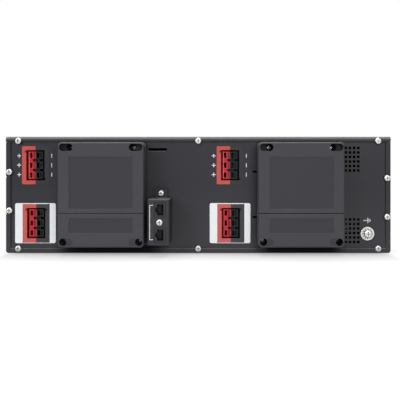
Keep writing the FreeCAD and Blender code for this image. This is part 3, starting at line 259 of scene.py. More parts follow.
class Finish:
    """One material: a Principled shader and the shared effects that drive it."""

    GRAIN_SHARE, CLOUD_SHARE = 0.55, 0.45
    SCRATCH_TINT, SCRATCH_DULLS = 0.5, 0.12
    DUST_SCALE, DUST_DULLS = 60.0, 0.5
    JOINT_ROUGH, JOINT_SET_IN = 1.0, 1.5
    PAINTED_SHADOW_ROUGH = 0.9

    def __init__(self, name, colour, light, rough, specular=0.5, metallic=0.0):
        self.material = bpy.data.materials.new(name)
        self.material.use_nodes = True
        self.tree = self.material.node_tree
        self.shader = self.tree.nodes["Principled BSDF"]
        self.shader.inputs["Specular IOR Level"].default_value = specular
        self.shader.inputs["Metallic"].default_value = metallic
        self.place = self.tree.nodes.new("ShaderNodeTexCoord").outputs["Object"]
        self.colour = colour
        self.light = light
        self.rough = rough

    def times(self, first, second):
        return math_node(self.tree, "MULTIPLY", first, second)

    def plus(self, first, second):
        return math_node(self.tree, "ADD", first, second)

    def along(self, axis):
        return axis_of(self.tree, self.place, axis)

    def span(self, axis, low, high):
        """One where a coordinate lies between two values, else nothing."""
        place = self.along(axis)
        above = math_node(self.tree, "GREATER_THAN", place, low)
        below = math_node(self.tree, "LESS_THAN", place, high)
        return self.times(above, below)

    def tint(self, factor, tone):
        """Moves the colour towards a tone."""
        self.shade = blend_colours(self.tree, factor, self.shade, (*tone, 1.0))

    def roughen(self, factor, rough):
        """Moves the roughness towards a value."""
        change = math_node(self.tree, "SUBTRACT", rough, self.gloss)
        self.gloss = self.plus(self.gloss, self.times(factor, change))

    def grain(self, grain_scale, cloud_scale, depth, strength):
        """Grain that moves the colour between its two values, the gloss and the bump."""
        group = use_group(self.tree, GRAIN, Vector=self.place, Grain_Scale=grain_scale,
                          Cloud_Scale=cloud_scale)
        mixed = self.plus(self.times(group.outputs["Grain"], self.GRAIN_SHARE),
                          self.times(group.outputs["Cloud"], self.CLOUD_SHARE))
        self.shade = blend_colours(self.tree, mixed, (*self.colour, 1.0), (*self.light, 1.0))
        self.gloss = ramp(self.tree, mixed, 0.0, 1.0, *self.rough)
        self.height = group.outputs["Grain"]
        self.depth = depth
        self.strength = strength
        return self

    def scratches(self, along, scale, tone, depth):
        """Drawn-out scratches that lighten the colour a little and break the gloss."""
        group = use_group(self.tree, SCRATCHES, Vector=self.place, Along=along, Scale=scale)
        mark = group.outputs["Scratch"]
        self.tint(self.times(mark, self.SCRATCH_TINT), tone)
        self.gloss = self.plus(self.gloss, self.times(mark, self.SCRATCH_DULLS))
        self.height = self.plus(self.height, mark)
        self.depth = depth
        return self

    def worn_and_highlit_edges(self, tone, radius, amount, upper=0.0, heights=ANYWHERE, mask="Mask"):
        """Lighter edges from wear and painted highlight; those that look up, within a span of
        heights, get a further painted highlight.
        """
        group = use_group(self.tree, EDGES, Vector=self.place, Radius=radius)
        factor = self.times(group.outputs[mask], amount)
        if upper:
            upward = self.times(group.outputs["Upward"], upper)
            inside = self.times(upward, self.span("Z", *heights))
            factor = math_node(self.tree, "MAXIMUM", factor, inside)
        self.tint(factor, tone)
        return self

    def painted_hollow_shade(self, tone, distance, amount, from_height=0.0):
        """Painted shade in hollows, duller too; a height can be given from which it sets in."""
        group = use_group(self.tree, CAVITIES, Distance=distance)
        factor = self.times(group.outputs["Mask"], amount)
        if from_height:
            set_in = ramp(self.tree, self.along("Z"), from_height, from_height * self.JOINT_SET_IN)
            factor = self.times(factor, set_in)
        self.tint(factor, tone)
        self.roughen(factor, self.JOINT_ROUGH)
        return self

    def dusty(self, tone, amount):
        """Pale, dull dust on what looks up."""
        group = use_group(self.tree, DUST, Vector=self.place, Scale=self.DUST_SCALE)
        factor = self.times(group.outputs["Mask"], amount)
        self.tint(factor, tone)
        self.gloss = self.plus(self.gloss, self.times(factor, self.DUST_DULLS))
        return self

    def painted_bounce_below(self, tone, amount, high, low):
        """Painted light thrown up from the floor, growing paler from one height down to a lower
        one.
        """
        self.tint(ramp(self.tree, self.along("Z"), high, low, 0.0, amount), tone)
        return self

    def painted_shadow_under(self, tone, low, high, top, fade):
        """Painted shadow on the lip below an overhanging piece, fading out at its two ends."""
        across = self.along("X")
        left = ramp(self.tree, across, low, low + fade)
        right = ramp(self.tree, across, high, high - fade)
        factor = self.times(self.times(left, right), self.span("Z", 0.0, top))
        self.tint(factor, tone)
        self.roughen(factor, self.PAINTED_SHADOW_ROUGH)
        return self

    def within(self, spans, tone, rough):
        """Another tone and gloss inside spans of the coordinates."""
        inside = 1.0
        for axis, (low, high) in spans.items():
            inside = self.times(inside, self.span(axis, low, high))
        self.tint(inside, tone)
        self.roughen(inside, rough)
        return self

    def done(self):
        bump = put(self.tree, "ShaderNodeBump", Strength=self.strength, Distance=self.depth,
                   Height=self.height)
        plug(self.tree, self.shader.inputs["Base Color"], self.shade)
        plug(self.tree, self.shader.inputs["Roughness"], self.gloss)
        plug(self.tree, self.shader.inputs["Normal"], bump.outputs["Normal"])
        return self.material


# Finishes of the case and its covers

def case_paint():
    """Dark powder coat with a fine orange peel, painted paler towards the floor as light thrown up
    from it.
    """
    finish = Finish("case_powder_coat", (0.0132, 0.0125, 0.0174), (0.0200, 0.0189, 0.0254),
                    rough=(0.40, 0.52), specular=0.27)
    finish.grain(1600.0, 14.0, depth=0.05 * MM, strength=0.35)
    # Painted light from the floor, paler towards the bottom
    finish.painted_bounce_below((0.0355, 0.0348, 0.0405), 0.75, high=76.0 * MM, low=10.0 * MM)
    # Edges barely worn; the upper edges of the lip get a painted highlight
    finish.worn_and_highlit_edges((0.26, 0.26, 0.265), radius=1.1 * MM, amount=0.05, upper=0.9,
                      heights=(-1.0, CASE_LIP))
    # Painted shade in hollows above the lip
    finish.painted_hollow_shade((0.002, 0.002, 0.003), distance=2.0 * MM, amount=0.95, from_height=CASE_LIP)
    # Painted highlight along the lower lip of the tie slot
    finish.within({"X": TIE_SLOT_X, "Z": TIE_SLOT_EDGE}, (0.062, 0.062, 0.067), rough=0.5)
    # Painted shadow of the covers on the lip below them
    for low, high in UNDER_COVERS:
        finish.painted_shadow_under((0.002, 0.002, 0.0022), low, high, top=CASE_LIP, fade=20.0 * MM)
    return finish.dusty((0.20, 0.20, 0.205), 0.9).done()


def bezel_plastic():
    finish = Finish("bezel_moulding", (0.012, 0.012, 0.013), (0.021, 0.021, 0.023),
                    rough=(0.44, 0.6), specular=0.4)
    finish.grain(2400.0, 20.0, depth=0.05 * MM, strength=0.4)
    finish.worn_and_highlit_edges((0.06, 0.06, 0.063), radius=0.8 * MM, amount=0.35)
    return finish.dusty((0.14, 0.135, 0.13), 0.1).done()


def cover_plastic():
    """Moulded covers: a spark-eroded skin with darker fields; the screw wells and the groove let in
    carry painted shade.
    """
    finish = Finish("cover_moulding", (0.0418, 0.0404, 0.0473), (0.0558, 0.0543, 0.0622),
                    rough=(0.54, 0.66), specular=0.22)
    finish.grain(2600.0, 24.0, depth=0.06 * MM, strength=0.45)
    fields = (COVER_FACE_Y + 0.3 * MM, COVER_FACE_Y + 0.9 * MM)
    wells = (COVER_FACE_Y + 3.0 * MM, COVER_FACE_Y + 8.0 * MM)
    groove = (COVER_FACE_Y + 0.2 * MM, COVER_FACE_Y + 1.3 * MM)
    finish.within({"Y": fields}, (0.0325, 0.0312, 0.0380), rough=0.5)
    # Painted shade in the screw wells
    finish.within({"Y": wells}, (0.006, 0.006, 0.007), rough=0.6)
    # Painted shade in the groove, lighter on the left cover than on the right
    for half, tone in ((LEFT_HALF, (0.024, 0.023, 0.027)), (RIGHT_HALF, (0.006, 0.006, 0.007))):
        finish.within({"X": half, "Y": groove, "Z": COVER_GROOVE_Z}, tone, rough=0.8)
    # Some wear on the edges; upper edges get a painted highlight
    finish.worn_and_highlit_edges((0.13, 0.13, 0.135), radius=0.9 * MM, amount=0.25, upper=0.6)
    return finish.dusty((0.18, 0.175, 0.17), 0.15).done()


def box_paint():
    finish = Finish("box_powder_coat", (0.0205, 0.0201, 0.0254), (0.0282, 0.0278, 0.0342),
                    rough=(0.44, 0.58), specular=0.27)
    finish.grain(1700.0, 22.0, depth=0.05 * MM, strength=0.35)
    # Painted light on the top face of the box
    finish.within({"Z": (BOX_TOP - 0.3 * MM, BOX_TOP + 0.5 * MM)}, (0.045, 0.045, 0.047), rough=0.5)
    # Painted highlight on the upper edges of the box top
    finish.worn_and_highlit_edges((0.26, 0.26, 0.265), radius=0.8 * MM, amount=0.01, upper=0.9,
                      heights=(BOX_TOP - 2.0 * MM, BOX_TOP + 1.0 * MM))
    # Painted shade in hollows
    finish.painted_hollow_shade((0.003, 0.003, 0.004), distance=1.2 * MM, amount=0.8)
    return finish.dusty((0.17, 0.17, 0.17), 0.5).done()


def bright_screw():
    """Bright zinc plate with fine turning marks."""
    finish = Finish("bright_zinc", (0.46, 0.455, 0.44), (0.66, 0.655, 0.635),
                    rough=(0.26, 0.40), metallic=1.0)
    finish.grain(900.0, 160.0, depth=0.04 * MM, strength=0.35)
    finish.scratches((1.0, 1.0, 0.12), 1400.0, (0.74, 0.74, 0.72), depth=0.05 * MM)
    # Painted shade in the cross recess and other hollows
    finish.painted_hollow_shade((0.24, 0.24, 0.232), distance=1.4 * MM, amount=1.0)
    return finish.worn_and_highlit_edges((0.9, 0.9, 0.88), radius=0.3 * MM, amount=0.5).done()


def dark_screw():
    finish = Finish("black_oxide", (0.045, 0.045, 0.047), (0.085, 0.085, 0.088),
                    rough=(0.22, 0.34), metallic=1.0)
    finish.grain(1100.0, 200.0, depth=0.04 * MM, strength=0.35)
    # Bright edges: painted glints
    return finish.worn_and_highlit_edges((0.80, 0.80, 0.80), radius=0.5 * MM, amount=1.0).done()


# Finishes of the ports, labels and jacks

RED_SIDE = 18.0 * MM


def red_housing():
    """Red moulding with painted light on its left wall and painted shade on its right one."""
    finish = Finish("red_moulding", (0.40, 0.008, 0.017), (0.51, 0.014, 0.026),
                    rough=(0.32, 0.44), specular=0.22)
    finish.grain(1900.0, 90.0, depth=0.03 * MM, strength=0.3)
    for port_x in PORT_X:
        lit_left_wall = (port_x - 9.0 * MM, port_x - 6.9 * MM)
        shaded_right_wall = (port_x - 1.9 * MM, port_x)
        # Painted light on the left wall and painted shade on the right one
        finish.within({"X": lit_left_wall}, (0.62, 0.085, 0.09), rough=0.4)
        finish.within({"X": shaded_right_wall}, (0.12, 0.006, 0.010), rough=0.5)
    # Painted pale highlights on every edge
    finish.worn_and_highlit_edges((1.0, 0.28, 0.30), radius=0.6 * MM, amount=0.5, mask="Edge")
    # Painted shade in hollows
    return finish.painted_hollow_shade((0.26, 0.002, 0.006), distance=2.0 * MM, amount=1.0).done()


def black_housing():
    finish = Finish("black_moulding", (0.0018, 0.0021, 0.0026), (0.0042, 0.0047, 0.0056),
                    rough=(0.36, 0.50), specular=0.1)
    finish.grain(1900.0, 90.0, depth=0.03 * MM, strength=0.3)
    # Painted bluish highlights on every edge
    finish.worn_and_highlit_edges((0.066, 0.082, 0.090), radius=0.8 * MM, amount=1.0, mask="Edge")
    # Painted shade in hollows
    return finish.painted_hollow_shade((0.0008, 0.0008, 0.001), distance=2.0 * MM, amount=1.0).done()


def holder_plastic():
    """Holders in two colours, red round the left housings and black round the right ones."""
    finish = Finish("holder_moulding", (0.004, 0.004, 0.005), (0.009, 0.009, 0.010),
                    rough=(0.45, 0.6), specular=0.15)
    finish.grain(2000.0, 60.0, depth=0.04 * MM, strength=0.35)
    for port_x in PORT_X:
        finish.within({"X": (port_x - RED_SIDE, port_x)}, (0.40, 0.010, 0.018), rough=0.5)
    return finish.worn_and_highlit_edges((0.04, 0.03, 0.03), radius=0.3 * MM, amount=0.3).done()


def contact_metal():
    """Tinned contacts; those on the red side carry a painted red reflection of the housings round
    them.
    """
    finish = Finish("tinned_contact", (0.020, 0.018, 0.018), (0.040, 0.037, 0.036),
                    rough=(0.45, 0.6), metallic=1.0)
    finish.grain(1300.0, 220.0, depth=0.03 * MM, strength=0.3)
    finish.scratches((1.0, 0.1, 1.0), 1500.0, (0.07, 0.067, 0.065), depth=0.03 * MM)
    # Painted red reflection of the red housings
    for port_x in PORT_X:
        finish.within({"X": (port_x - RED_SIDE, port_x)}, (0.11, 0.004, 0.010), rough=0.6)
    return finish.done()


def gold_wire():
    finish = Finish("gold_wire", (0.034, 0.030, 0.024), (0.060, 0.052, 0.040),
                    rough=(0.32, 0.45), metallic=1.0)
    finish.grain(1500.0, 300.0, depth=0.02 * MM, strength=0.25)
    return finish.scratches((1.0, 0.1, 1.0), 1600.0, (0.10, 0.085, 0.06), depth=0.02 * MM).done()


def label_film(name, colour, light, rough):
    """Adhesive film with a faint tooth, before its print."""
    finish = Finish(name, colour, light, rough, specular=0.22)
    return finish.grain(1400.0, 45.0, depth=0.03 * MM, strength=0.3)


def cut_edges(finish, tone):
    """Paler cut edges of a label."""
    return finish.worn_and_highlit_edges(tone, radius=0.4 * MM, amount=0.4).done()


def colour_film(name, colour, light, lower):
    """Colour label of the ports; its lower row has a tone of its own."""
    rough = (0.46, 0.58)
    finish = label_film(name, colour, light, rough)
    finish.within({"Z": (0.0, LABEL_ROW_Z)}, lower, rough=rough[0])
    return cut_edges(finish, tuple(0.1 + 0.9 * value for value in light))


def white_film():
    """White film whose print carries the colours of the port labels on to its own foot and side."""
    finish = label_film("white_film", (0.73, 0.76, 0.775), (0.82, 0.845, 0.855), rough=(0.42, 0.55))
    for port_x in PORT_X:
        left, right = port_x - FIELD_LEFT, port_x + FIELD_RIGHT
        fields = (((left, port_x), FIELD_FOOT_Z, LOW_RED),
                  ((port_x, right), FIELD_FOOT_Z, LOW_GREY),
                  ((right - FIELD_SIDE_WIDTH, right), FIELD_SIDE_Z, LOW_GREY))
        for across, heights, tone in fields:
            finish.within({"X": across, "Z": heights}, tone, FIELD_ROUGH)
    return cut_edges(finish, (0.88, 0.89, 0.90))


def white_ink():
    finish = Finish("white_ink", (0.74, 0.75, 0.76), (0.86, 0.87, 0.88),
                    rough=(0.5, 0.65), specular=0.3)
    return finish.grain(2600.0, 300.0, depth=0.03 * MM, strength=0.4).done()


def jack_plastic():
    finish = Finish("jack_moulding", (0.0190, 0.0188, 0.0232), (0.0268, 0.0264, 0.0322),
                    rough=(0.42, 0.54), specular=0.27)
    finish.grain(2000.0, 110.0, depth=0.03 * MM, strength=0.3)
    # Edges lightened a little: wear and a painted sheen
    finish.worn_and_highlit_edges((0.10, 0.10, 0.105), radius=0.3 * MM, amount=0.06)
    # Painted shade in hollows
    return finish.painted_hollow_shade((0.001, 0.001, 0.0012), distance=1.0 * MM, amount=1.0).done()


# Finishes of what lies inside

def board_green():
    """Solder resist with faint copper tracks below it."""
    finish = Finish("board_resist", (0.010, 0.075, 0.032), (0.018, 0.115, 0.050), rough=(0.28, 0.4))
    finish.grain(800.0, 120.0, depth=0.03 * MM, strength=0.3)
    return finish.scratches((0.05, 1.0, 1.0), 500.0, (0.04, 0.17, 0.075), depth=0.04 * MM).done()


def bare_metal(name, colour, light):
    """Bare brass or copper with brighter drawing marks."""
    finish = Finish(name, colour, light, rough=(0.28, 0.44), metallic=1.0)
    finish.grain(900.0, 70.0, depth=0.04 * MM, strength=0.35)
    mark = tuple(1.15 * value for value in light)
    return finish.scratches((1.0, 1.0, 0.1), 900.0, mark, depth=0.04 * MM).done()


def battery_case():
    finish = Finish("battery_moulding", (0.040, 0.042, 0.046), (0.060, 0.062, 0.066),
                    rough=(0.42, 0.58), specular=0.4)
    finish.grain(1500.0, 12.0, depth=0.06 * MM, strength=0.4)
    finish.worn_and_highlit_edges((0.12, 0.12, 0.125), radius=0.8 * MM, amount=0.35)
    return finish.dusty((0.2, 0.195, 0.19), 0.15).done()


def tray_steel():
    """Galvanised sheet with broad spangle and rolling marks."""
    finish = Finish("galvanised_sheet", (0.36, 0.37, 0.38), (0.52, 0.53, 0.54),
                    rough=(0.32, 0.5), metallic=1.0)
    finish.grain(260.0, 45.0, depth=0.04 * MM, strength=0.3)
    return finish.scratches((1.0, 0.06, 1.0), 700.0, (0.6, 0.61, 0.62), depth=0.04 * MM).done()


def fuse_base():
    finish = Finish("fuse_base_moulding", (0.010, 0.010, 0.011), (0.02, 0.02, 0.021),
                    rough=(0.4, 0.55), specular=0.4)
    return finish.grain(1500.0, 40.0, depth=0.05 * MM, strength=0.4).done()


def fuse_ceramic():
    finish = Finish("fuse_ceramic", (0.66, 0.63, 0.56), (0.78, 0.75, 0.68), rough=(0.26, 0.4))
    return finish.grain(700.0, 60.0, depth=0.04 * MM, strength=0.3).done()


def lead_rubber(name, colour, light):
    finish = Finish(name, colour, light, rough=(0.42, 0.56), specular=0.4)
    finish.grain(1200.0, 40.0, depth=0.04 * MM, strength=0.35)
    return finish.dusty((0.3, 0.29, 0.28), 0.1).done()


FINISHES = {
    "case_paint": case_paint(),
    "bezel_plastic": bezel_plastic(),
    "cover_plastic": cover_plastic(),
    "box_paint": box_paint(),
    "bright_screw": bright_screw(),
    "dark_screw": dark_screw(),
    "red_housing": red_housing(),
    "black_housing": black_housing(),
    "holder_plastic": holder_plastic(),
    "contact_metal": contact_metal(),
    "red_label": colour_film("red_film", (0.47, 0.070, 0.061), (0.56, 0.089, 0.079), LOW_RED),
    "grey_label": colour_film("grey_film", (0.0222, 0.0232, 0.0266), (0.0295, 0.0308, 0.0346),
                              LOW_GREY),
    "white_label": white_film(),
    "jack_plastic": jack_plastic(),
    "board_green": board_green(),
    "standoff_metal": bare_metal("plain_brass", (0.48, 0.36, 0.17), (0.64, 0.50, 0.26)),
    "copper_bar": bare_metal("bare_copper", (0.56, 0.27, 0.15), (0.72, 0.39, 0.24)),
    "battery_case": battery_case(),
    "tray_steel": tray_steel(),
    "fuse_base": fuse_base(),
    "fuse_ceramic": fuse_ceramic(),
    "red_lead": lead_rubber("red_lead", (0.32, 0.014, 0.016), (0.42, 0.022, 0.024)),
    "black_lead": lead_rubber("black_lead", (0.010, 0.010, 0.011), (0.018, 0.018, 0.019)),
}
for row in frame["record"]["subparts"]:
    for holder in frame["nodes"][row["node"]].material_slots:
        holder.material = FINISHES[row["material_slot"]]


# Modelling helpers

SMOOTH_ANGLE = math.radians(40)
FACES_ALONG = 0.9


def start_block(name, centre, size):
    """A block to shape further, selected alone, in edit mode with nothing selected."""
    bpy.ops.object.select_all(action="DESELECT")
    bpy.ops.mesh.primitive_cube_add(size=1.0, location=centre, scale=size)
    piece = bpy.context.object
    piece.name = name
    bpy.ops.object.transform_apply(location=True, rotation=True, scale=True)
    bpy.ops.object.mode_set(mode="EDIT")
    bpy.ops.mesh.select_mode(type="FACE")
    bpy.ops.mesh.select_all(action="DESELECT")
    return piece


def pick_faces(piece, wanted):
    """Selects the faces whose middle and normal fit."""
    bpy.ops.mesh.select_all(action="DESELECT")
    bpy.ops.object.mode_set(mode="OBJECT")
    for face in piece.data.polygons:
        face.select = wanted(face.center, face.normal)
    bpy.ops.object.mode_set(mode="EDIT")


def push_out(piece, wanted, move):
    """Extrudes the fitting faces by one move."""
    pick_faces(piece, wanted)
    bpy.ops.mesh.extrude_region_move(TRANSFORM_OT_translate={"value": move})


def soften(width):
    """Bevels every edge of the piece in edit mode and goes back to object mode."""
    bpy.ops.mesh.select_all(action="SELECT")
    bpy.ops.mesh.bevel(offset=width, segments=2, affect="EDGES")
    bpy.ops.mesh.select_all(action="SELECT")
    bpy.ops.mesh.normals_make_consistent(inside=False)
    bpy.ops.object.mode_set(mode="OBJECT")
    bpy.ops.object.shade_smooth_by_angle(angle=SMOOTH_ANGLE)


def copies(piece, steps):
    """The piece and its copies, each with its own mesh moved by one of the steps."""
    made = [piece]
    for number, step in enumerate(steps, start=2):
        bpy.ops.object.select_all(action="DESELECT")
        piece.select_set(True)
        bpy.context.view_layer.objects.active = piece
        bpy.ops.object.duplicate(linked=False)
        twin = bpy.context.object
        twin.name = f"{piece.name}_{number}"
        bpy.ops.transform.translate(value=step)
        bpy.ops.object.transform_apply(location=True, rotation=False, scale=False)
        made.append(twin)
    return made


def join(pieces, name):
    bpy.ops.object.select_all(action="DESELECT")
    for piece in pieces:
        piece.select_set(True)
    bpy.context.view_layer.objects.active = pieces[0]
    bpy.ops.object.join()
    whole = bpy.context.object
    whole.name = name
    return whole


def finish_piece(piece, material):
    piece.data.materials.clear()
    piece.data.materials.append(material)
    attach(piece, "root")


# Printed signs

INK = white_ink()
PRINT = 0.15 * MM
PRINT_EDGE = PRINT / 5
ON_PANEL_Y = PANEL_Y - PRINT / 2
ON_BOX_Y = BOX_FACE_Y - PRINT / 2

SIGN_HALF = 2.2 * MM
SIGN_LINE = 0.75 * MM
SIGN_STEP = 10.5 * MM
SIGN_OFFSET_X = 18.2 * MM

EARTH_LEFT = 184.4 * MM
EARTH_Z = 36.4 * MM
EARTH_LINE = 0.7 * MM
EARTH_STEM = 2.0 * MM
EARTH_STEM_REACH = 2.8 * MM
EARTH_BARS = ((4.8 * MM, 3.0 * MM), (6.3 * MM, 2.0 * MM), (7.8 * MM, 1.0 * MM))

BRACKET_X = BOX_X - 9.3 * MM
BRACKET_LINE = 0.55 * MM
BRACKET_HALF = 18.2 * MM
BRACKET_ARM = 3.4 * MM


def sign(name, centre, arms):
    """A short cross or stroke of print: a small pad with an arm pushed out of each named side."""
    piece = start_block(name, centre, (SIGN_LINE, PRINT, SIGN_LINE))
    reach = SIGN_HALF - SIGN_LINE / 2
    for arm in arms:
        side = Vector(arm)
        root = Vector(centre) + side * SIGN_LINE / 2
        push_out(piece, lambda middle, normal: (middle - root).length < SIGN_LINE / 4, side * reach)
    soften(PRINT_EDGE)
    return piece


def polarity_signs():
    """Three plus signs left of each upper port and three minus signs right of it."""
    across = ((1, 0, 0), (-1, 0, 0))
    upright = ((0, 0, 1), (0, 0, -1))
    marks = (("plus_signs", -1, across + upright), ("minus_signs", 1, upright))
    top = UPPER_PORT_Z + SIGN_STEP
    for column, port_x in enumerate(PORT_X, start=1):
        for name, side, arms in marks:
            first = sign("sign", (port_x + SIGN_OFFSET_X * side, ON_PANEL_Y, top), arms)
            rows = copies(first, [(0, 0, -SIGN_STEP), (0, 0, -2 * SIGN_STEP)])
            finish_piece(join(rows, f"{name}_{column}"), INK)


def earth_symbol():
    """Stem and three shortening bars, lying on its side beside the earth screw."""
    stem = start_block("stem", (EARTH_LEFT + EARTH_STEM / 2, ON_PANEL_Y, EARTH_Z),
                       (EARTH_STEM, PRINT, EARTH_LINE))
    push_out(stem, lambda middle, normal: normal.x > FACES_ALONG, (EARTH_STEM_REACH, 0, 0))
    soften(PRINT_EDGE)
    bars = [stem]
    for step, half in EARTH_BARS:
        centre = (EARTH_LEFT + step, ON_PANEL_Y, EARTH_Z)
        bar = start_block("bar", centre, (EARTH_LINE, PRINT, half))
        for end in (1, -1):
            push_out(bar, lambda middle, normal: normal.z * end > FACES_ALONG,
                     (0, 0, half / 2 * end))
        soften(PRINT_EDGE)
        bars.append(bar)
    finish_piece(join(bars, "earth_symbol"), INK)


def jack_bracket():
    """Thin bracket that ties the two jacks together on the face of their box."""
    middle_z = sum(JACK_Z) / 2
    piece = start_block("jack_bracket", (BRACKET_X, ON_BOX_Y, middle_z),
                        (BRACKET_LINE, PRINT, BRACKET_HALF))

    def tip(middle, normal):
        return normal.z * end > FACES_ALONG and abs(middle.x - BRACKET_X) < BRACKET_LINE

    def inner_side(middle, normal):
        return normal.x > FACES_ALONG and (middle.z - middle_z) * end > BRACKET_HALF

    for end in (1, -1):
        for step in (BRACKET_HALF / 2, BRACKET_LINE):
            push_out(piece, tip, (0, 0, step * end))
        push_out(piece, inner_side, (BRACKET_ARM, 0, 0))
    soften(PRINT_EDGE)
    finish_piece(piece, INK)


# Sprung wires of the jacks

WIRES = 8
WIRE_PITCH = 1.02 * MM
WIRE_GAUGE = 0.42 * MM
WIRE_EDGE = 0.08 * MM
WIRE_X = JACK_X + 2.95 * MM
WIRE_Y = BOX_FACE_Y + 6.4 * MM
WIRE_STUB = 0.8 * MM
WIRE_BENDS = ((-0.4 * MM, 1.0 * MM, 0), (-1.4 * MM, 3.4 * MM, 0), (-0.4 * MM, 0.9 * MM, 0))
WIRE_TIP = 0.7


def jack_wires():
    """Rows of sprung wires that slope from the right wall of each mouth towards its back."""
    gold = gold_wire()
    for name, jack_z in zip(("upper", "lower"), JACK_Z):
        low = jack_z - WIRE_PITCH * (WIRES - 1) / 2
        wire = start_block("wire", (WIRE_X, WIRE_Y, low), (WIRE_GAUGE, WIRE_STUB, WIRE_GAUGE))
        for bend in WIRE_BENDS:
            push_out(wire, lambda middle, normal: normal.y > WIRE_TIP, bend)
        soften(WIRE_EDGE)
        row = copies(wire, [(0, 0, WIRE_PITCH * number) for number in range(1, WIRES)])
        finish_piece(join(row, f"jack_wires_{name}"), gold)


polarity_signs()
earth_symbol()
jack_bracket()
jack_wires()


# Floor, light and camera

WHITE = (1.0, 1.0, 1.0, 1.0)

FLOOR_SIZE = 12.0
FLOOR_TONE = (0.60, 0.60, 0.603, 1.0)
FLOOR_SEEN_TONE = (0.25, 0.25, 0.25125, 1.0)
FLOOR_ROUGH = 0.9
FLOOR_SPECULAR = 0.1
# Beside the case the floor turns plain white, painting out its shadow there
FLOOR_WHITE_BESIDE = (216.5 * MM, 229.0 * MM)
FLOOR_WHITE_AWAY = (420.0 * MM, 900.0 * MM)
# Where the floor's painted contact shadow lies and how bright its glow is
CONTACT_Y = (276.4 * MM, 290.5 * MM, 345.0 * MM)
CONTACT_END_X = (200.0 * MM, 216.0 * MM)
CONTACT_GLOW = (0.32, 0.496, 0.68)

WORLD_LIGHT = 0.25
WORLD_REFLECTED = 0.75

LID_SPOT = (0.0, 0.12, 0.0)
CONNECTOR_SPOT = (0.0, -0.25, 0.07)
SOFTBOXES = (
    ("overhead_softbox", (0.0, 0.12, 1.5), LID_SPOT, (1.3, 1.3), 40.0),
    ("key_softbox", (-1.4, -1.6, 0.80), CONNECTOR_SPOT, (1.0, 0.8), 20.0),
    ("fill_softbox", (0.45, -2.05, 0.66), CONNECTOR_SPOT, (0.9, 0.9), 13.9),
)

CAMERA_PLACE = (21.2 * MM, -1014.8 * MM, 113.8 * MM)
CAMERA_CLIP = 10.0 * MM
SENSOR_WIDTH = 36.0
FOCAL_PIXELS = 663.8
FRAME_PIXELS = 400.0
AXIS_PIXEL = (217.26, 151.2)


def seen_rays(tree):
    """One for rays of the camera, and one for these and reflected or refracted ones."""
    rays = tree.nodes.new("ShaderNodeLightPath").outputs
    seen = math_node(tree, "MAXIMUM", rays["Is Camera Ray"], rays["Is Glossy Ray"])
    return rays["Is Camera Ray"], math_node(tree, "MAXIMUM", seen, rays["Is Transmission Ray"])


def painted_contact_shadow(tree, across, along):
    """The floor's glow, holding a painted contact shadow: least where the case stands, then more
    towards the open floor.
    """
    close, middle, clear = CONTACT_Y
    least, more, most = CONTACT_GLOW
    out = math_node(tree, "ADD", ramp(tree, along, close, middle, least, more),
                    ramp(tree, along, middle, clear, 0.0, most - more))
    return math_node(tree, "MAXIMUM", out, ramp(tree, across, *CONTACT_END_X, least, most))


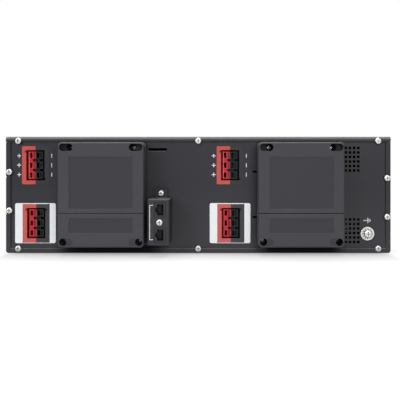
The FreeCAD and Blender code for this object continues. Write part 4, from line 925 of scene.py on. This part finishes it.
def studio_floor():
    """Pale floor that takes the shadow near the object, with a painted contact shadow in its glow,
    and runs out to plain white, which paints out the shadow right beside the case.
    """
    bpy.ops.object.select_all(action="DESELECT")
    bpy.ops.mesh.primitive_plane_add(size=FLOOR_SIZE, location=(0, 0, 0))
    floor = bpy.context.object
    floor.name = "studio_floor"
    material = bpy.data.materials.new("studio_white")
    material.use_nodes = True
    tree = material.node_tree
    shader = tree.nodes["Principled BSDF"]
    shader.inputs["Roughness"].default_value = FLOOR_ROUGH
    shader.inputs["Specular IOR Level"].default_value = FLOOR_SPECULAR
    shader.inputs["Emission Color"].default_value = WHITE
    place = tree.nodes.new("ShaderNodeTexCoord").outputs["Object"]
    across = math_node(tree, "ABSOLUTE", axis_of(tree, place, "X"))
    along = math_node(tree, "ABSOLUTE", axis_of(tree, place, "Y"))
    away = vector_node(tree, "LENGTH", place).outputs["Value"]
    seen = seen_rays(tree)[1]
    glow = math_node(tree, "MULTIPLY", seen, painted_contact_shadow(tree, across, along))
    tone = blend_colours(tree, seen, FLOOR_TONE, FLOOR_SEEN_TONE)
    plug(tree, shader.inputs["Base Color"], tone)
    plug(tree, shader.inputs["Emission Strength"], glow)
    plain = math_node(tree, "MAXIMUM", ramp(tree, across, *FLOOR_WHITE_BESIDE),
                      ramp(tree, away, *FLOOR_WHITE_AWAY))
    white = put(tree, "ShaderNodeEmission", Color=WHITE, Strength=seen)
    mixed = put(tree, "ShaderNodeMixShader", Fac=plain)
    plug(tree, mixed.inputs[1], shader.outputs["BSDF"])
    plug(tree, mixed.inputs[2], white.outputs["Emission"])
    plug(tree, tree.nodes["Material Output"].inputs["Surface"], mixed.outputs["Shader"])
    floor.data.materials.append(material)


def studio_world():
    """Faint even light for the object, white where the camera sees it and pale in reflections."""
    world = bpy.data.worlds.new("studio_world")
    bpy.context.scene.world = world
    world.use_nodes = True
    tree = world.node_tree
    camera, seen = seen_rays(tree)
    light = ramp(tree, seen, 0.0, 1.0, WORLD_LIGHT, WORLD_REFLECTED)
    backdrop = tree.nodes["Background"]
    backdrop.inputs["Color"].default_value = WHITE
    plug(tree, backdrop.inputs["Strength"], math_node(tree, "MAXIMUM", camera, light))


def softbox(name, place, target, size, power):
    """A rectangular lamp that faces its target."""
    bpy.ops.object.select_all(action="DESELECT")
    bpy.ops.object.light_add(type="AREA", location=place)
    lamp = bpy.context.object
    lamp.name = name
    lamp.data.shape = "RECTANGLE"
    lamp.data.size, lamp.data.size_y = size
    lamp.data.energy = power
    aim = Vector(target) - Vector(place)
    lamp.rotation_euler = aim.to_track_quat("-Z", "Y").to_euler()


def photo_camera():
    """Level camera close behind the connector side, framed with a small shift."""
    data = bpy.data.cameras.new("photo_camera")
    camera = bpy.data.objects.new("photo_camera", data)
    bpy.context.scene.collection.objects.link(camera)
    camera.location = CAMERA_PLACE
    camera.rotation_euler = (math.radians(90), 0, 0)
    data.sensor_width = SENSOR_WIDTH
    data.lens = FOCAL_PIXELS / FRAME_PIXELS * SENSOR_WIDTH
    data.shift_x = (FRAME_PIXELS / 2 - AXIS_PIXEL[0]) / FRAME_PIXELS
    data.shift_y = (AXIS_PIXEL[1] - FRAME_PIXELS / 2) / FRAME_PIXELS
    data.clip_start = CAMERA_CLIP
    bpy.context.scene.camera = camera


studio_floor()
studio_world()
for lamp in SOFTBOXES:
    softbox(*lamp)
photo_camera()
bpy.context.scene.view_settings.view_transform = "Standard"
